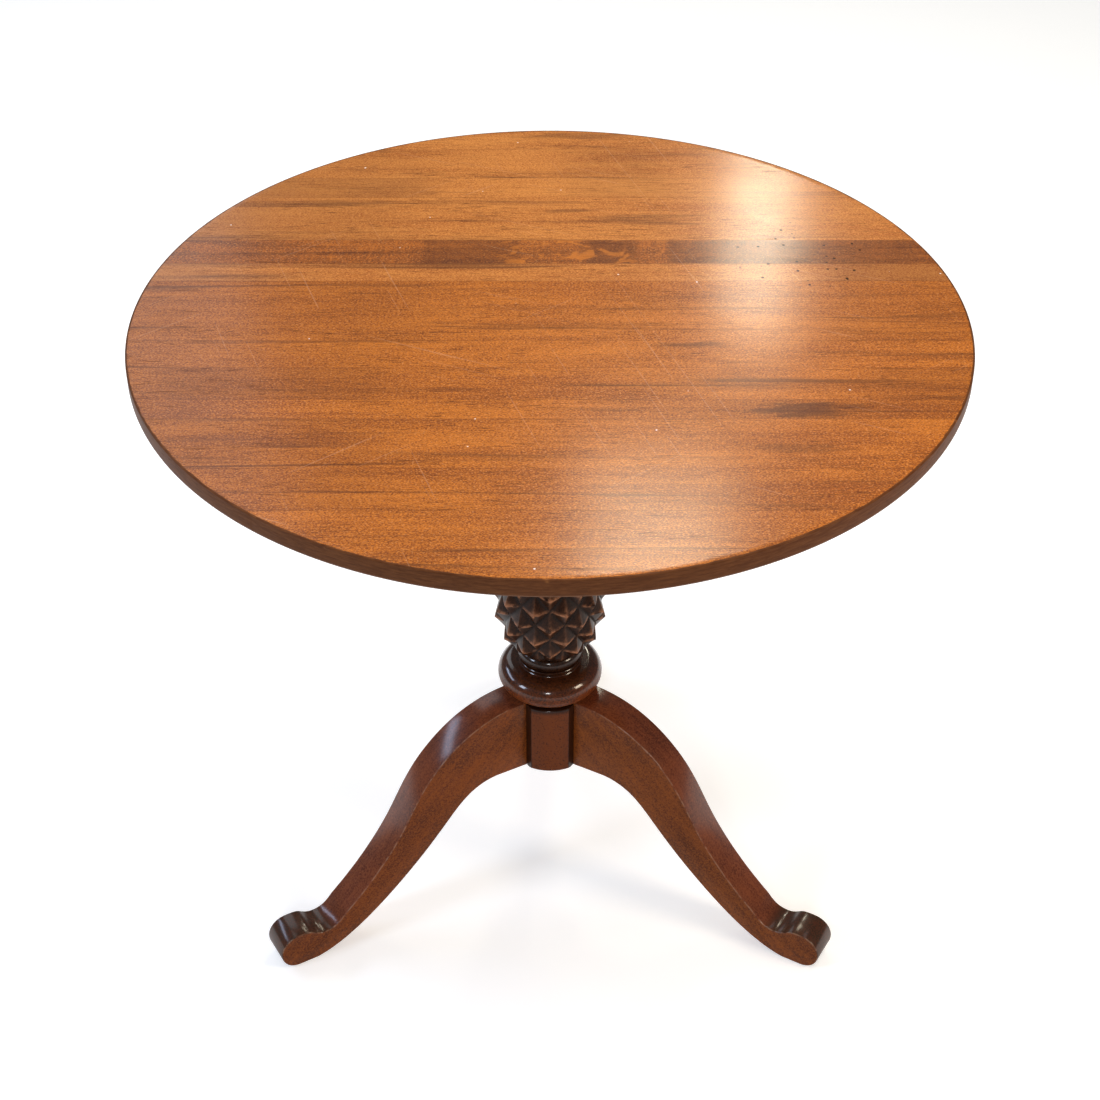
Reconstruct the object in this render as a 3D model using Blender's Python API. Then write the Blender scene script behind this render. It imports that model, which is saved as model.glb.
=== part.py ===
"""Tilt top table: a round edge-glued top on a turned and carved column with three S-curve legs.

The origin is on the floor under the column's axis. +Z is up, X runs along the grain of the top and
along the tilt hinge, and -Y is the side between the two front legs. Lengths are in metres.
"""
import math

import bmesh
import bpy
from mathutils import Matrix, Vector

# ---------------------------------------------------------------- driving dimensions
GAP = 0.0003                      # clearance between pieces that touch
RUNNING_GAP = 0.00008             # radial clearance of the pivot pins in the bearers
TABLE_HEIGHT = 0.712
TOP_RADIUS = 0.400
TOP_THICKNESS = 0.019
TOP_SEGMENTS = 120
BOARD_WIDTHS = (0.046, 0.067, 0.043, 0.091, 0.047, 0.034, 0.110, 0.047, 0.053, 0.031, 0.076, 0.061, 0.094)

BLOCK_HALF = 0.075
BLOCK_THICKNESS = 0.034
BLOCK_TO_TOP = 0.0005             # space between the block and the underside of the top
BEARER_WIDTH = 0.032
BEARER_THICKNESS = 0.030
BEARER_HALF_LENGTH = 0.335
BEARER_SIDE_GAP = 0.0007
BEARER_SCREW_Y = (-0.275, -0.112, 0.1295, 0.2655)
PIN_RADIUS = 0.006
PIN_IN_BLOCK = 0.030
PIN_SEGMENTS = 32
SCREW_SEGMENTS = 12

COLUMN_SEGMENTS = 44
BASE_BOTTOM = 0.165
BASE_RADIUS = 0.049
BASE_TOP = 0.254
FLAT_DISTANCE = 0.040             # from the axis to each flat that a leg butts against
RING_HEIGHT = 0.273
RING_OUTER = 0.0560
RING_HALF = 0.016
BEAD_HEIGHT = 0.3017
CARVING_BOTTOM = 0.3155
CARVING_ROW = 0.0202
CARVING_ROWS = 9
CARVING_COLUMNS = 22              # two for each carved point in a row
CARVING_END_RADIUS = 0.034
CARVING_SWELL = 0.028
CARVING_LOWNESS = 0.75            # below 1, the bulb is fullest under its middle
CARVING_FULLNESS = 0.65           # below 1, the bulb swells quickly from its two ends
CARVING_DEPTH = 0.008
CARVING_DROOP = 0.0035            # how far each point hangs below its row
TENON_RADIUS = 0.019
WEDGE_TAPER = 0.055                # growth of the wedge's half width for each unit of height
WEDGE_HALF_WIDTH = 0.0178
KERF_HALF_WIDTH = 0.030
CUTTER_OVERRUN = 0.02              # how far a cutter stands clear of what it cuts

LEG_THICKNESS = 0.037
LEG_EASE = 0.0012
LEG_HEADINGS = {"leg_front_left": 210.0, "leg_front_right": -30.0, "leg_rear": 90.0}
TONGUE_INNER = 0.0288
TONGUE_TOP = 0.236
TONGUE_NARROW = 0.0065            # half width at the flat
TONGUE_WIDE = 0.0095              # half width at its inner end

PLATE_THICKNESS = 0.0025
PLATE_ARM_HALF = 0.010
PLATE_ARM_LENGTH = 0.068
PLATE_SCREW_RADII = (0.018, 0.062)

CATCH_TRAVEL = 0.009
CATCH_FRONT = 0.0795
CATCH_CASE_LENGTH = 0.048
BOLT_HALF_WIDTH = 0.0062
BOLT_HALF_HEIGHT = 0.0043
BOLT_LENGTH = 0.0263
BOLT_Z = 0.6835
KNOB_BACK = 0.0195                # from the bolt's nose to the knob's stem

# ---------------------------------------------------------------- screws: head radius, shank radius, length
BEARER_SCREW = (0.0045, 0.0022, 0.034)
BEARER_COUNTERBORE = 0.008
CATCH_SCREW = (0.0036, 0.0017, 0.014)
CATCH_SCREW_PLACES = tuple((x, y) for x in (-0.022, 0.022) for y in (0.0875, 0.1205))
KEEPER_SCREW = (0.0034, 0.0016, 0.014)
KEEPER_SCREW_PLACES = ((-0.0135, 0.671), (0.0135, 0.671))
PLATE_SCREW = (0.0042, 0.0021, 0.020)

# ---------------------------------------------------------------- heights and places that follow
TOP_UNDERSIDE = TABLE_HEIGHT - TOP_THICKNESS
BLOCK_TOP = TOP_UNDERSIDE - BLOCK_TO_TOP
BLOCK_BOTTOM = BLOCK_TOP - BLOCK_THICKNESS
PIVOT_REACH = BLOCK_THICKNESS / 2          # from the hinge axis to the block's top and front faces
PIVOT = Vector((0.0, -BLOCK_HALF + PIVOT_REACH, BLOCK_TOP - PIVOT_REACH))
BEARER_INNER = BLOCK_HALF + BEARER_SIDE_GAP
BEARER_OUTER = BEARER_INNER + BEARER_WIDTH
BEARER_TOP = TOP_UNDERSIDE - GAP
KEEPER_THICKNESS = 0.002
KEEPER_BACK = BLOCK_HALF + GAP + KEEPER_THICKNESS
CATCH_PLATE_BOTTOM = BEARER_TOP - 0.002
CATCH_CASE_TOP = CATCH_PLATE_BOTTOM - GAP
CATCH_CASE_BOTTOM = CATCH_CASE_TOP - 0.014

# ---------------------------------------------------------------- colours
TOP_WOODS = (
    (0.50, 0.215, 0.075), (0.44, 0.170, 0.055), (0.47, 0.200, 0.070), (0.40, 0.150, 0.050),
    (0.16, 0.060, 0.025), (0.45, 0.180, 0.060), (0.52, 0.225, 0.080), (0.43, 0.165, 0.055),
    (0.47, 0.190, 0.065), (0.38, 0.140, 0.045), (0.48, 0.200, 0.070), (0.42, 0.160, 0.052),
    (0.46, 0.185, 0.062),
)
COLUMN_WOOD = (0.045, 0.016, 0.009)
LEG_WOOD = (0.115, 0.036, 0.018)
UNDER_WOOD = (0.200, 0.090, 0.042)
WEDGE_WOOD = (0.420, 0.270, 0.140)
BRASS = (0.62, 0.44, 0.18)
STEEL = (0.36, 0.35, 0.34)
IRON = (0.070, 0.062, 0.058)


# ---------------------------------------------------------------- small helpers
def clear_scene():
    """Remove every object from the open file."""
    for item in list(bpy.data.objects):
        bpy.data.objects.remove(item, do_unlink=True)


def make_material(name, colour, roughness, metallic=0.0):
    """Give one Principled material with a plain colour."""
    material = bpy.data.materials.new(name)
    material.use_nodes = True
    shader = material.node_tree.nodes["Principled BSDF"]
    shader.inputs["Base Color"].default_value = (*colour, 1.0)
    shader.inputs["Roughness"].default_value = roughness
    shader.inputs["Metallic"].default_value = metallic
    return material


def make_object(name, mesh_builder, material=None, location=(0, 0, 0), heading=0.0):
    """Turn a bmesh into a named object with outward faces."""
    bmesh.ops.recalc_face_normals(mesh_builder, faces=mesh_builder.faces)
    mesh = bpy.data.meshes.new(name)
    mesh_builder.to_mesh(mesh)
    mesh_builder.free()
    return link_mesh(name, mesh, material, location, heading)


def link_mesh(name, mesh, material=None, location=(0, 0, 0), heading=0.0):
    """Put a mesh, which other objects may share, into the scene."""
    item = bpy.data.objects.new(name, mesh)
    bpy.context.scene.collection.objects.link(item)
    item.location = location
    item.rotation_euler = (0.0, 0.0, math.radians(heading))
    if material and not mesh.materials:
        mesh.materials.append(material)
    return item


def combine(target, tool, operation="DIFFERENCE"):
    """Cut, intersect or join target with tool, bake the result into target and drop the tool."""
    tool.hide_render = True
    tool.display_type = "WIRE"
    modifier = target.modifiers.new("combine", "BOOLEAN")
    modifier.operation = operation
    modifier.solver = "EXACT"
    modifier.object = tool
    bpy.context.view_layer.update()
    graph = bpy.context.evaluated_depsgraph_get()
    baked = bpy.data.meshes.new_from_object(target.evaluated_get(graph))
    target.modifiers.remove(modifier)
    materials = list(target.data.materials)
    target.data = baked
    target.data.name = target.name
    target.data.materials.clear()
    for material in materials:
        target.data.materials.append(material)
    bpy.data.objects.remove(tool, do_unlink=True)


def smooth(item, angle=35.0):
    """Shade a round piece smooth, keeping its real corners sharp."""
    item.data.shade_smooth()
    item.data.set_sharp_from_angle(angle=math.radians(angle))


def box(low, high):
    """A box between two corners, as a bmesh."""
    builder = bmesh.new()
    size = Vector(high) - Vector(low)
    centre = (Vector(high) + Vector(low)) / 2
    placing = Matrix.Translation(centre) @ Matrix.Diagonal((*size, 1.0))
    bmesh.ops.create_cube(builder, size=1.0, matrix=placing)
    return builder


def extrude_outline(points, direction):
    """A closed prism from a flat outline of 3-D points, swept along one direction."""
    builder = bmesh.new()
    face = builder.faces.new([builder.verts.new(point) for point in points])
    swept = bmesh.ops.extrude_face_region(builder, geom=[face])
    moved = [part for part in swept["geom"] if isinstance(part, bmesh.types.BMVert)]
    bmesh.ops.translate(builder, verts=moved, vec=direction)
    return builder


def turned(profile, segments, axis="Z"):
    """A solid of revolution from (radius, height) points, with flat caps or points as its ends."""
    builder = bmesh.new()
    rings = [turned_ring(builder, radius, height, segments) for radius, height in profile]
    bridge_all(builder, rings)
    for end in (rings[0], rings[-1]):
        if len(end) > 1:
            builder.faces.new(end)
    if axis == "X":
        bmesh.ops.rotate(builder, verts=builder.verts, matrix=Matrix.Rotation(math.radians(90), 3, "Y"))
    if axis == "Y":
        bmesh.ops.rotate(builder, verts=builder.verts, matrix=Matrix.Rotation(math.radians(90), 3, "X"))
    return builder


def turned_ring(builder, radius, height, count):
    """One ring of points round the Z axis, or a single point where the radius is zero."""
    if radius == 0:
        return [builder.verts.new((0, 0, height))]
    turn = 2 * math.pi / count
    return [
        builder.verts.new((radius * math.cos(i * turn), radius * math.sin(i * turn), height))
        for i in range(count)
    ]


def bridge_all(builder, rings):
    """Join each ring to the next one."""
    for lower, upper in zip(rings, rings[1:]):
        bridge(builder, lower, upper)


def bridge(builder, lower, upper):
    """Join two rings of equal count, one ring and a point, or rings whose counts differ twofold."""
    count = max(len(lower), len(upper))
    for i in range(count):
        j = (i + 1) % count
        if len(lower) == len(upper):
            builder.faces.new((lower[i], lower[j], upper[j], upper[i]))
        elif len(upper) == 1:
            builder.faces.new((lower[i], lower[j], upper[0]))
        elif len(lower) == 1:
            builder.faces.new((upper[j], upper[i], lower[0]))
        elif len(lower) > len(upper):
            bridge_step(builder, i, lower, upper, False)
        else:
            bridge_step(builder, i, upper, lower, True)


def bridge_step(builder, i, fine, coarse, flip):
    """One step between a fine ring and a coarse ring with half as many points."""
    near = coarse[(i // 2) % len(coarse)]
    far = coarse[(i // 2 + 1) % len(coarse)]
    apex = near if i % 2 == 0 else far
    faces = [(fine[i], fine[(i + 1) % len(fine)], apex)]
    if i % 2 == 0:
        faces.append((fine[i + 1], far, near))
    for face in faces:
        builder.faces.new(tuple(reversed(face)) if flip else face)


def bezier(points, steps):
    """Points along one cubic curve, without its first point."""
    result = []
    for i in range(1, steps + 1):
        t = i / steps
        weights = ((1 - t) ** 3, 3 * t * (1 - t) ** 2, 3 * t * t * (1 - t), t ** 3)
        result.append(tuple(sum(w * p[k] for w, p in zip(weights, points)) for k in range(2)))
    return result


def arc(centre, radii, start, end, steps):
    """Points along an elliptical arc in (radius, height), from one angle in degrees to another."""
    angles = [math.radians(start + (end - start) * i / steps) for i in range(steps + 1)]
    return [(centre[0] + radii[0] * math.cos(a), centre[1] + radii[1] * math.sin(a)) for a in angles]


# ---------------------------------------------------------------- screws
def screw_profile(head_radius, shank_radius, length, grow=0.0):
    """A countersunk wood screw: head face at height zero, point at its full length."""
    head = head_radius - shank_radius
    start = -0.0015 if grow else 0.0
    return [
        (head_radius + grow, start), (head_radius + grow, 0.0004),
        (shank_radius + grow, head + 0.0004), (shank_radius + grow, length - 3 * shank_radius),
        (0, length + 2 * grow),
    ]


def screw_mesh(name, head_radius, shank_radius, length, material, axis="Z"):
    """The shared mesh of one screw size, with its driving slot."""
    profile = screw_profile(head_radius, shank_radius, length)
    item = make_object(name, turned(profile, SCREW_SEGMENTS, axis), material)
    half = 0.0005
    deep = 0.0011
    if axis == "Z":
        slot = box((-0.02, -half, -0.01), (0.02, half, deep))
    else:
        slot = box((-0.02, -deep, -half), (0.02, 0.01, half))
    combine(item, make_object("slot_tool", slot))
    smooth(item)
    mesh = item.data
    bpy.data.objects.remove(item, do_unlink=True)
    return mesh


def bore_for_screw(target, place, head_radius, shank_radius, length, axis="Z"):
    """Cut a screw's hole, with its countersink, into a piece."""
    profile = screw_profile(head_radius, shank_radius, length, GAP)
    combine(target, make_object("screw_tool", turned(profile, SCREW_SEGMENTS, axis), location=place))


# ---------------------------------------------------------------- the top
def top_disc():
    """The whole round top, with a crisp upper arris and a softer lower one."""
    upper = 0.0012
    lower = 0.0032
    profile = arc((TOP_RADIUS - lower, TOP_UNDERSIDE + lower * 1.4), (lower, lower * 1.4), -90, 0, 3)
    profile += arc((TOP_RADIUS - upper, TABLE_HEIGHT - upper), (upper, upper), 0, 90, 2)
    return turned(profile, TOP_SEGMENTS)


def build_boards():
    """One object for each glued board, split at straight joints along X, from the rear forward."""
    boards = []
    rear = TOP_RADIUS
    for number, width in enumerate(BOARD_WIDTHS, start=1):
        front = rear - width
        name = f"top_board_{number:02d}"
        material = make_material(name, TOP_WOODS[number - 1], 0.28)
        board = make_object(name, top_disc(), material)
        reach = TOP_RADIUS + 0.1
        outer_rear = rear + 0.1 if number == 1 else rear - GAP / 2
        outer_front = front - 0.1 if number == len(BOARD_WIDTHS) else front + GAP / 2
        strip = box((-reach, outer_front, 0.6), (reach, outer_rear, 0.8))
        combine(board, make_object("strip_tool", strip), "INTERSECT")
        smooth(board, 30.0)
        boards.append((front, rear, board))
        rear = front
    return boards


def board_at(boards, y):
    """The board that lies over one Y."""
    return next(board for front, rear, board in boards if front < y < rear)


# ---------------------------------------------------------------- under the top
def build_bearer(side, name):
    """A batten across the grain, with long chamfers under its ends and a bore for the pivot pin."""
    bottom = BEARER_TOP - BEARER_THICKNESS
    chamfer_long = 0.045
    chamfer_up = 0.016
    end = BEARER_HALF_LENGTH
    outline = [
        (-end, BEARER_TOP), (-end, bottom + chamfer_up), (-end + chamfer_long, bottom),
        (end - chamfer_long, bottom), (end, bottom + chamfer_up), (end, BEARER_TOP),
    ]
    inner = side * BEARER_INNER
    material = make_material(name, UNDER_WOOD, 0.45)
    points = [(inner, y, z) for y, z in outline]
    bearer = make_object(name, extrude_outline(points, (side * BEARER_WIDTH, 0, 0)), material)
    bore = (PIN_RADIUS + RUNNING_GAP) / math.cos(math.pi / PIN_SEGMENTS)
    tool = turned([(bore, -0.1), (bore, 0.1)], PIN_SEGMENTS, "X")
    combine(bearer, make_object("bore_tool", tool, location=(side * 0.1, PIVOT.y, PIVOT.z)))
    return bearer


def build_bearers(boards):
    """Both bearers and their screws, which hold the boards flat."""
    pieces = []
    head_radius, shank_radius, length = BEARER_SCREW
    mesh = screw_mesh("bearer_screw", *BEARER_SCREW, make_material("bearer_screw", STEEL, 0.40, 1.0))
    bottom = BEARER_TOP - BEARER_THICKNESS
    for side, word in ((-1, "left"), (1, "right")):
        bearer = build_bearer(side, f"bearer_{word}")
        pieces.append(bearer)
        middle = side * (BEARER_INNER + BEARER_OUTER) / 2
        for number, y in enumerate(BEARER_SCREW_Y, start=1):
            head_z = bottom + BEARER_COUNTERBORE
            well = turned([(0.006, -0.02), (0.006, 0)], SCREW_SEGMENTS)
            combine(bearer, make_object("well_tool", well, location=(middle, y, head_z)))
            bore_for_screw(bearer, (middle, y, head_z), head_radius, shank_radius, length)
            bore_for_screw(board_at(boards, y), (middle, y, head_z), head_radius, shank_radius, length)
            pieces.append(link_mesh(f"bearer_screw_{word}_{number}", mesh, location=(middle, y, head_z)))
    return pieces


def build_block():
    """The square block on the column, its upper front corner rounded about the hinge axis."""
    top_front = arc((PIVOT.y, PIVOT.z), (PIVOT_REACH, PIVOT_REACH), 180, 90, 8)
    outline = [(-BLOCK_HALF, BLOCK_BOTTOM)] + top_front
    outline += [(BLOCK_HALF, BLOCK_TOP), (BLOCK_HALF, BLOCK_BOTTOM)]
    points = [(-BLOCK_HALF, y, z) for y, z in outline]
    block = make_object(
        "tilt_block", extrude_outline(points, (2 * BLOCK_HALF, 0, 0)),
        make_material("tilt_block", UNDER_WOOD, 0.45),
    )
    hole = TENON_RADIUS + GAP
    tool = turned([(hole, 0.6), (hole, 0.75)], COLUMN_SEGMENTS)
    combine(block, make_object("tenon_tool", tool))
    for side in (-1, 1):
        pin = PIN_RADIUS + GAP
        deep = PIN_IN_BLOCK + GAP
        tool = turned([(pin, -deep), (pin, deep)], PIN_SEGMENTS, "X")
        combine(block, make_object("pin_tool", tool, location=(side * BLOCK_HALF, PIVOT.y, PIVOT.z)))
    mortise = box((-0.0068, 0.0680, BOLT_Z - 0.005), (0.0068, 0.08, BOLT_Z + 0.005))
    combine(block, make_object("mortise_tool", mortise))
    for x, z in KEEPER_SCREW_PLACES:
        bore_for_screw(block, (x, KEEPER_BACK, z), *KEEPER_SCREW, axis="Y")
    return block


def build_pins():
    """Two steel pins, fixed in the block and turning in the bearers, each centred on the hinge."""
    pins = []
    length = PIN_IN_BLOCK + BEARER_SIDE_GAP + BEARER_WIDTH - 0.001
    chamfer = 0.0008
    for side, word in ((-1, "left"), (1, "right")):
        name = f"pivot_pin_{word}"
        profile = [
            (PIN_RADIUS - chamfer, 0), (PIN_RADIUS, chamfer), (PIN_RADIUS, length - chamfer),
            (PIN_RADIUS - chamfer, length),
        ]
        start = BLOCK_HALF - PIN_IN_BLOCK
        place = (start if side > 0 else -start - length, PIVOT.y, PIVOT.z)
        pin = make_object(
            name, turned(profile, PIN_SEGMENTS, "X"), make_material(name, STEEL, 0.35, 1.0), place,
        )
        smooth(pin)
        pins.append(pin)
    return pins


def build_keeper():
    """The brass plate on the block's rear face that the bolt shoots into, and its two screws."""
    brass = make_material("keeper_plate", BRASS, 0.38, 1.0)
    low = (-0.020, BLOCK_HALF + GAP, 0.664)
    plate = make_object("keeper_plate", box(low, (0.020, KEEPER_BACK, BLOCK_TOP - 0.001)), brass)
    hole = box((-0.0068, 0.07, BOLT_Z - 0.005), (0.0068, 0.08, BOLT_Z + 0.005))
    combine(plate, make_object("hole_tool", hole))
    material = make_material("keeper_screw", BRASS, 0.42, 1.0)
    mesh = screw_mesh("keeper_screw", *KEEPER_SCREW, material, "Y")
    pieces = [plate]
    for number, (x, z) in enumerate(KEEPER_SCREW_PLACES, start=1):
        bore_for_screw(plate, (x, KEEPER_BACK, z), *KEEPER_SCREW, axis="Y")
        pieces.append(link_mesh(f"keeper_screw_{number}", mesh, location=(x, KEEPER_BACK, z)))
    return pieces


def build_catch(boards):
    """The fixed parts of the spring catch: plate, case, spring and four screws."""
    pieces = []
    plate = make_object(
        "catch_plate", box((-0.030, CATCH_FRONT, CATCH_PLATE_BOTTOM), (0.030, 0.1285, BEARER_TOP)),
        make_material("catch_plate", BRASS, 0.38, 1.0),
    )
    pieces.append(plate)
    material = make_material("catch_screw", BRASS, 0.42, 1.0)
    mesh = screw_mesh("catch_screw", *CATCH_SCREW, material)
    for number, (x, y) in enumerate(CATCH_SCREW_PLACES, start=1):
        place = (x, y, CATCH_PLATE_BOTTOM)
        bore_for_screw(plate, place, *CATCH_SCREW)
        bore_for_screw(board_at(boards, y), place, *CATCH_SCREW)
        pieces.append(link_mesh(f"catch_screw_{number}", mesh, location=place))
    pieces.append(build_case())
    pieces.append(build_spring())
    return pieces


def build_case():
    """A brass box with a tunnel for the bolt and a slot below for its knob."""
    back = CATCH_FRONT + CATCH_CASE_LENGTH
    case = make_object(
        "catch_case", box((-0.0105, CATCH_FRONT, CATCH_CASE_BOTTOM), (0.0105, back, CATCH_CASE_TOP)),
        make_material("catch_case", BRASS, 0.36, 1.0),
    )
    wide = BOLT_HALF_WIDTH + 0.0004
    tall = BOLT_HALF_HEIGHT + 0.0004
    tunnel = box((-wide, CATCH_FRONT - 0.01, BOLT_Z - tall), (wide, back - 0.003, BOLT_Z + tall))
    combine(case, make_object("tunnel_tool", tunnel))
    stem = CATCH_FRONT + GAP + KNOB_BACK
    slot = box((-0.0033, stem - CATCH_TRAVEL - 0.0029, 0.66), (0.0033, stem + 0.0029, BOLT_Z))
    combine(case, make_object("slot_tool", slot))
    return case


def build_spring():
    """The coil spring behind the bolt, squeezed while the bolt is drawn back."""
    turns = 5
    steps = 10 * turns
    coil = 0.0034
    wire = 0.0006
    start = CATCH_FRONT + GAP + BOLT_LENGTH + wire + GAP
    end = CATCH_FRONT + CATCH_CASE_LENGTH - 0.003 - wire - GAP
    curve = bpy.data.curves.new("catch_spring", "CURVE")
    curve.dimensions = "3D"
    curve.bevel_depth = wire
    curve.bevel_resolution = 1
    curve.use_fill_caps = True
    spline = curve.splines.new("POLY")
    spline.points.add(steps)
    for i in range(steps + 1):
        angle = 2 * math.pi * turns * i / steps
        y = start + (end - start) * i / steps
        spline.points[i].co = (coil * math.cos(angle), y, BOLT_Z + coil * math.sin(angle), 1.0)
    shape = bpy.data.objects.new("spring_tool", curve)
    bpy.context.scene.collection.objects.link(shape)
    bpy.context.view_layer.update()
    mesh = bpy.data.meshes.new_from_object(shape.evaluated_get(bpy.context.evaluated_depsgraph_get()))
    bpy.data.objects.remove(shape, do_unlink=True)
    mesh.materials.clear()
    spring = link_mesh("catch_spring", mesh, make_material("catch_spring", STEEL, 0.35, 1.0))
    smooth(spring, 60.0)
    return spring


def build_bolt():
    """The sliding bolt with a bevelled nose, and the knob screwed up into it."""
    nose = CATCH_FRONT + GAP
    bevel = 0.0016
    outline = [
        (nose + bevel, BOLT_Z - BOLT_HALF_HEIGHT), (nose, BOLT_Z - BOLT_HALF_HEIGHT + bevel),
        (nose, BOLT_Z + BOLT_HALF_HEIGHT - bevel), (nose + bevel, BOLT_Z + BOLT_HALF_HEIGHT),
        (nose + BOLT_LENGTH, BOLT_Z + BOLT_HALF_HEIGHT), (nose + BOLT_LENGTH, BOLT_Z - BOLT_HALF_HEIGHT),
    ]
    points = [(-BOLT_HALF_WIDTH, y, z) for y, z in outline]
    bolt = make_object(
        "catch_bolt", extrude_outline(points, (2 * BOLT_HALF_WIDTH, 0, 0)),
        make_material("catch_bolt", BRASS, 0.30, 1.0),
    )
    stem = 0.0026
    stem_y = nose + KNOB_BACK
    socket = turned([(stem + GAP, -0.01), (stem + GAP, 0)], 16)
    combine(bolt, make_object("socket_tool", socket, location=(0, stem_y, BOLT_Z)))
    ball = 0.0058
    ball_z = CATCH_CASE_BOTTOM - 0.0020 - ball
    profile = arc((0, ball_z), (ball, ball), -90, 60, 7)
    profile = [(0, profile[0][1])] + profile[1:]
    profile += [(stem, profile[-1][1] + 0.0003), (stem, BOLT_Z - GAP)]
    knob = make_object("catch_knob", turned(profile, 16), make_material("catch_knob", BRASS, 0.30, 1.0))
    knob.location = (0, stem_y, 0)
    smooth(knob)
    return [bolt, knob]


# ---------------------------------------------------------------- column
def carving_radius(row):
    """Radius of the carved points on one row: a bulb, fullest below its middle."""
    fraction = row / CARVING_ROWS
    swell = max(0.0, math.sin(math.pi * fraction ** CARVING_LOWNESS))
    return CARVING_END_RADIUS + CARVING_SWELL * swell ** CARVING_FULLNESS


def carving_ring(builder, row):
    """One row of the carving: raised points and groove crossings by turns."""
    ring = []
    inner_row = 0 < row < CARVING_ROWS
    for column in range(CARVING_COLUMNS):
        angle = 2 * math.pi * column / CARVING_COLUMNS - math.pi / 2
        raised = (row + column) % 2 == 1
        radius = carving_radius(row) - (CARVING_DEPTH if inner_row and not raised else 0.0)
        height = CARVING_BOTTOM + CARVING_ROW * row - (CARVING_DROOP if inner_row and raised else 0.0)
        ring.append(builder.verts.new((radius * math.cos(angle), radius * math.sin(angle), height)))
    return ring


def bridge_carving(builder, lower, upper, row):
    """Split each cell along its groove, so every raised point is a four-sided pyramid."""
    for i in range(CARVING_COLUMNS):
        j = (i + 1) % CARVING_COLUMNS
        if (row + i) % 2 == 0:
            builder.faces.new((lower[i], lower[j], upper[j]))
            builder.faces.new((lower[i], upper[j], upper[i]))
        else:
            builder.faces.new((lower[i], lower[j], upper[i]))
            builder.faces.new((lower[j], upper[j], upper[i]))


def lower_profile():
    """From the base's bottom to the foot of the carving."""
    ease = 0.0035
    profile = arc((BASE_RADIUS - ease, BASE_BOTTOM + ease), (ease, ease), -90, 0, 2)
    profile += arc((BASE_RADIUS - 0.0015, BASE_TOP - 0.0015), (0.0015, 0.0015), 0, 90, 2)
    neck = RING_OUTER - RING_HALF
    profile += [(neck, BASE_TOP)]
    profile += arc((neck, RING_HEIGHT), (RING_HALF, RING_HALF), -90, 90, 9)
    fillet_top = BEAD_HEIGHT - 0.008
    profile += [(0.0335, RING_HEIGHT + RING_HALF), (0.0335, fillet_top)]
    profile += arc((0.0285, BEAD_HEIGHT), (0.0065, 0.0080), -80, 80, 5)
    profile += [(0.0300, CARVING_BOTTOM - 0.0022)]
    return profile


def upper_profile():
    """From the top of the carving to the end of the tenon in the block."""
    top = CARVING_BOTTOM + CARVING_ROW * CARVING_ROWS
    profile = [(0.0300, top + 0.002)]
    profile += arc((0.0320, top + 0.009), (0.0080, 0.0065), -80, 80, 4)
    profile += [(0.0300, top + 0.0165), (0.0285, top + 0.0200)]
    start = top + 0.0200
    waist = bezier([(0.0285, start), (0.0215, start + 0.035), (0.0215, start + 0.080),
                    (0.0285, BLOCK_BOTTOM - 0.022)], 5)
    profile += waist
    profile += arc((0.0290, BLOCK_BOTTOM - 0.0155), (0.0060, 0.0060), -80, 80, 4)
    shoulder = BLOCK_BOTTOM - GAP
    profile += [(0.0310, BLOCK_BOTTOM - 0.0085), (0.0370, BLOCK_BOTTOM - 0.0060), (0.0370, shoulder)]
    profile += [(TENON_RADIUS, shoulder), (TENON_RADIUS, BLOCK_TOP - 0.001)]
    return profile


def column_solid():
    """The whole turning, with the carved rows between its two plain stretches."""
    builder = bmesh.new()
    lower = [turned_ring(builder, r, z, COLUMN_SEGMENTS) for r, z in lower_profile()]
    rows = [carving_ring(builder, row) for row in range(CARVING_ROWS + 1)]
    upper = [turned_ring(builder, r, z, COLUMN_SEGMENTS) for r, z in upper_profile()]
    bridge_all(builder, lower)
    for row in range(CARVING_ROWS):
        bridge_carving(builder, rows[row], rows[row + 1], row)
    bridge_all(builder, upper)
    builder.faces.new(lower[0])
    builder.faces.new(upper[-1])
    quarter = COLUMN_SEGMENTS * 3 // 4
    bridge(builder, lower[-1][quarter:] + lower[-1][:quarter], rows[0])
    bridge(builder, rows[-1], upper[0][quarter:] + upper[0][:quarter])
    return builder


def tongue_solid(grow, low, high):
    """A dovetail tongue pointing along +X: narrow at the flat, wide at its inner end."""
    slope = (TONGUE_WIDE - TONGUE_NARROW) / (FLAT_DISTANCE - TONGUE_INNER)
    inner = TONGUE_INNER - grow
    outer = FLAT_DISTANCE + 0.0015
    inner_half = TONGUE_WIDE + grow * (1 + slope)
    outer_half = TONGUE_NARROW + grow - slope * 0.0015
    outline = [(inner, -inner_half, low), (outer, -outer_half, low), (outer, outer_half, low),
               (inner, inner_half, low)]
    return extrude_outline(outline, (0, 0, high - low))


def wedge_solid(grow, length, above=0.0):
    """The tapered wedge across the tenon, or the kerf for it, carried on above the wedge's top."""
    low = BLOCK_BOTTOM + 0.009 - grow
    high = BLOCK_TOP - 0.0012 + above
    outline = []
    for side, height in ((-1, low), (1, low), (1, high), (-1, high)):
        half = 0.0007 + grow + (height - low) * WEDGE_TAPER
        outline.append((-length, side * half, height))
    return extrude_outline(outline, (2 * length, 0, 0))


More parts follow.
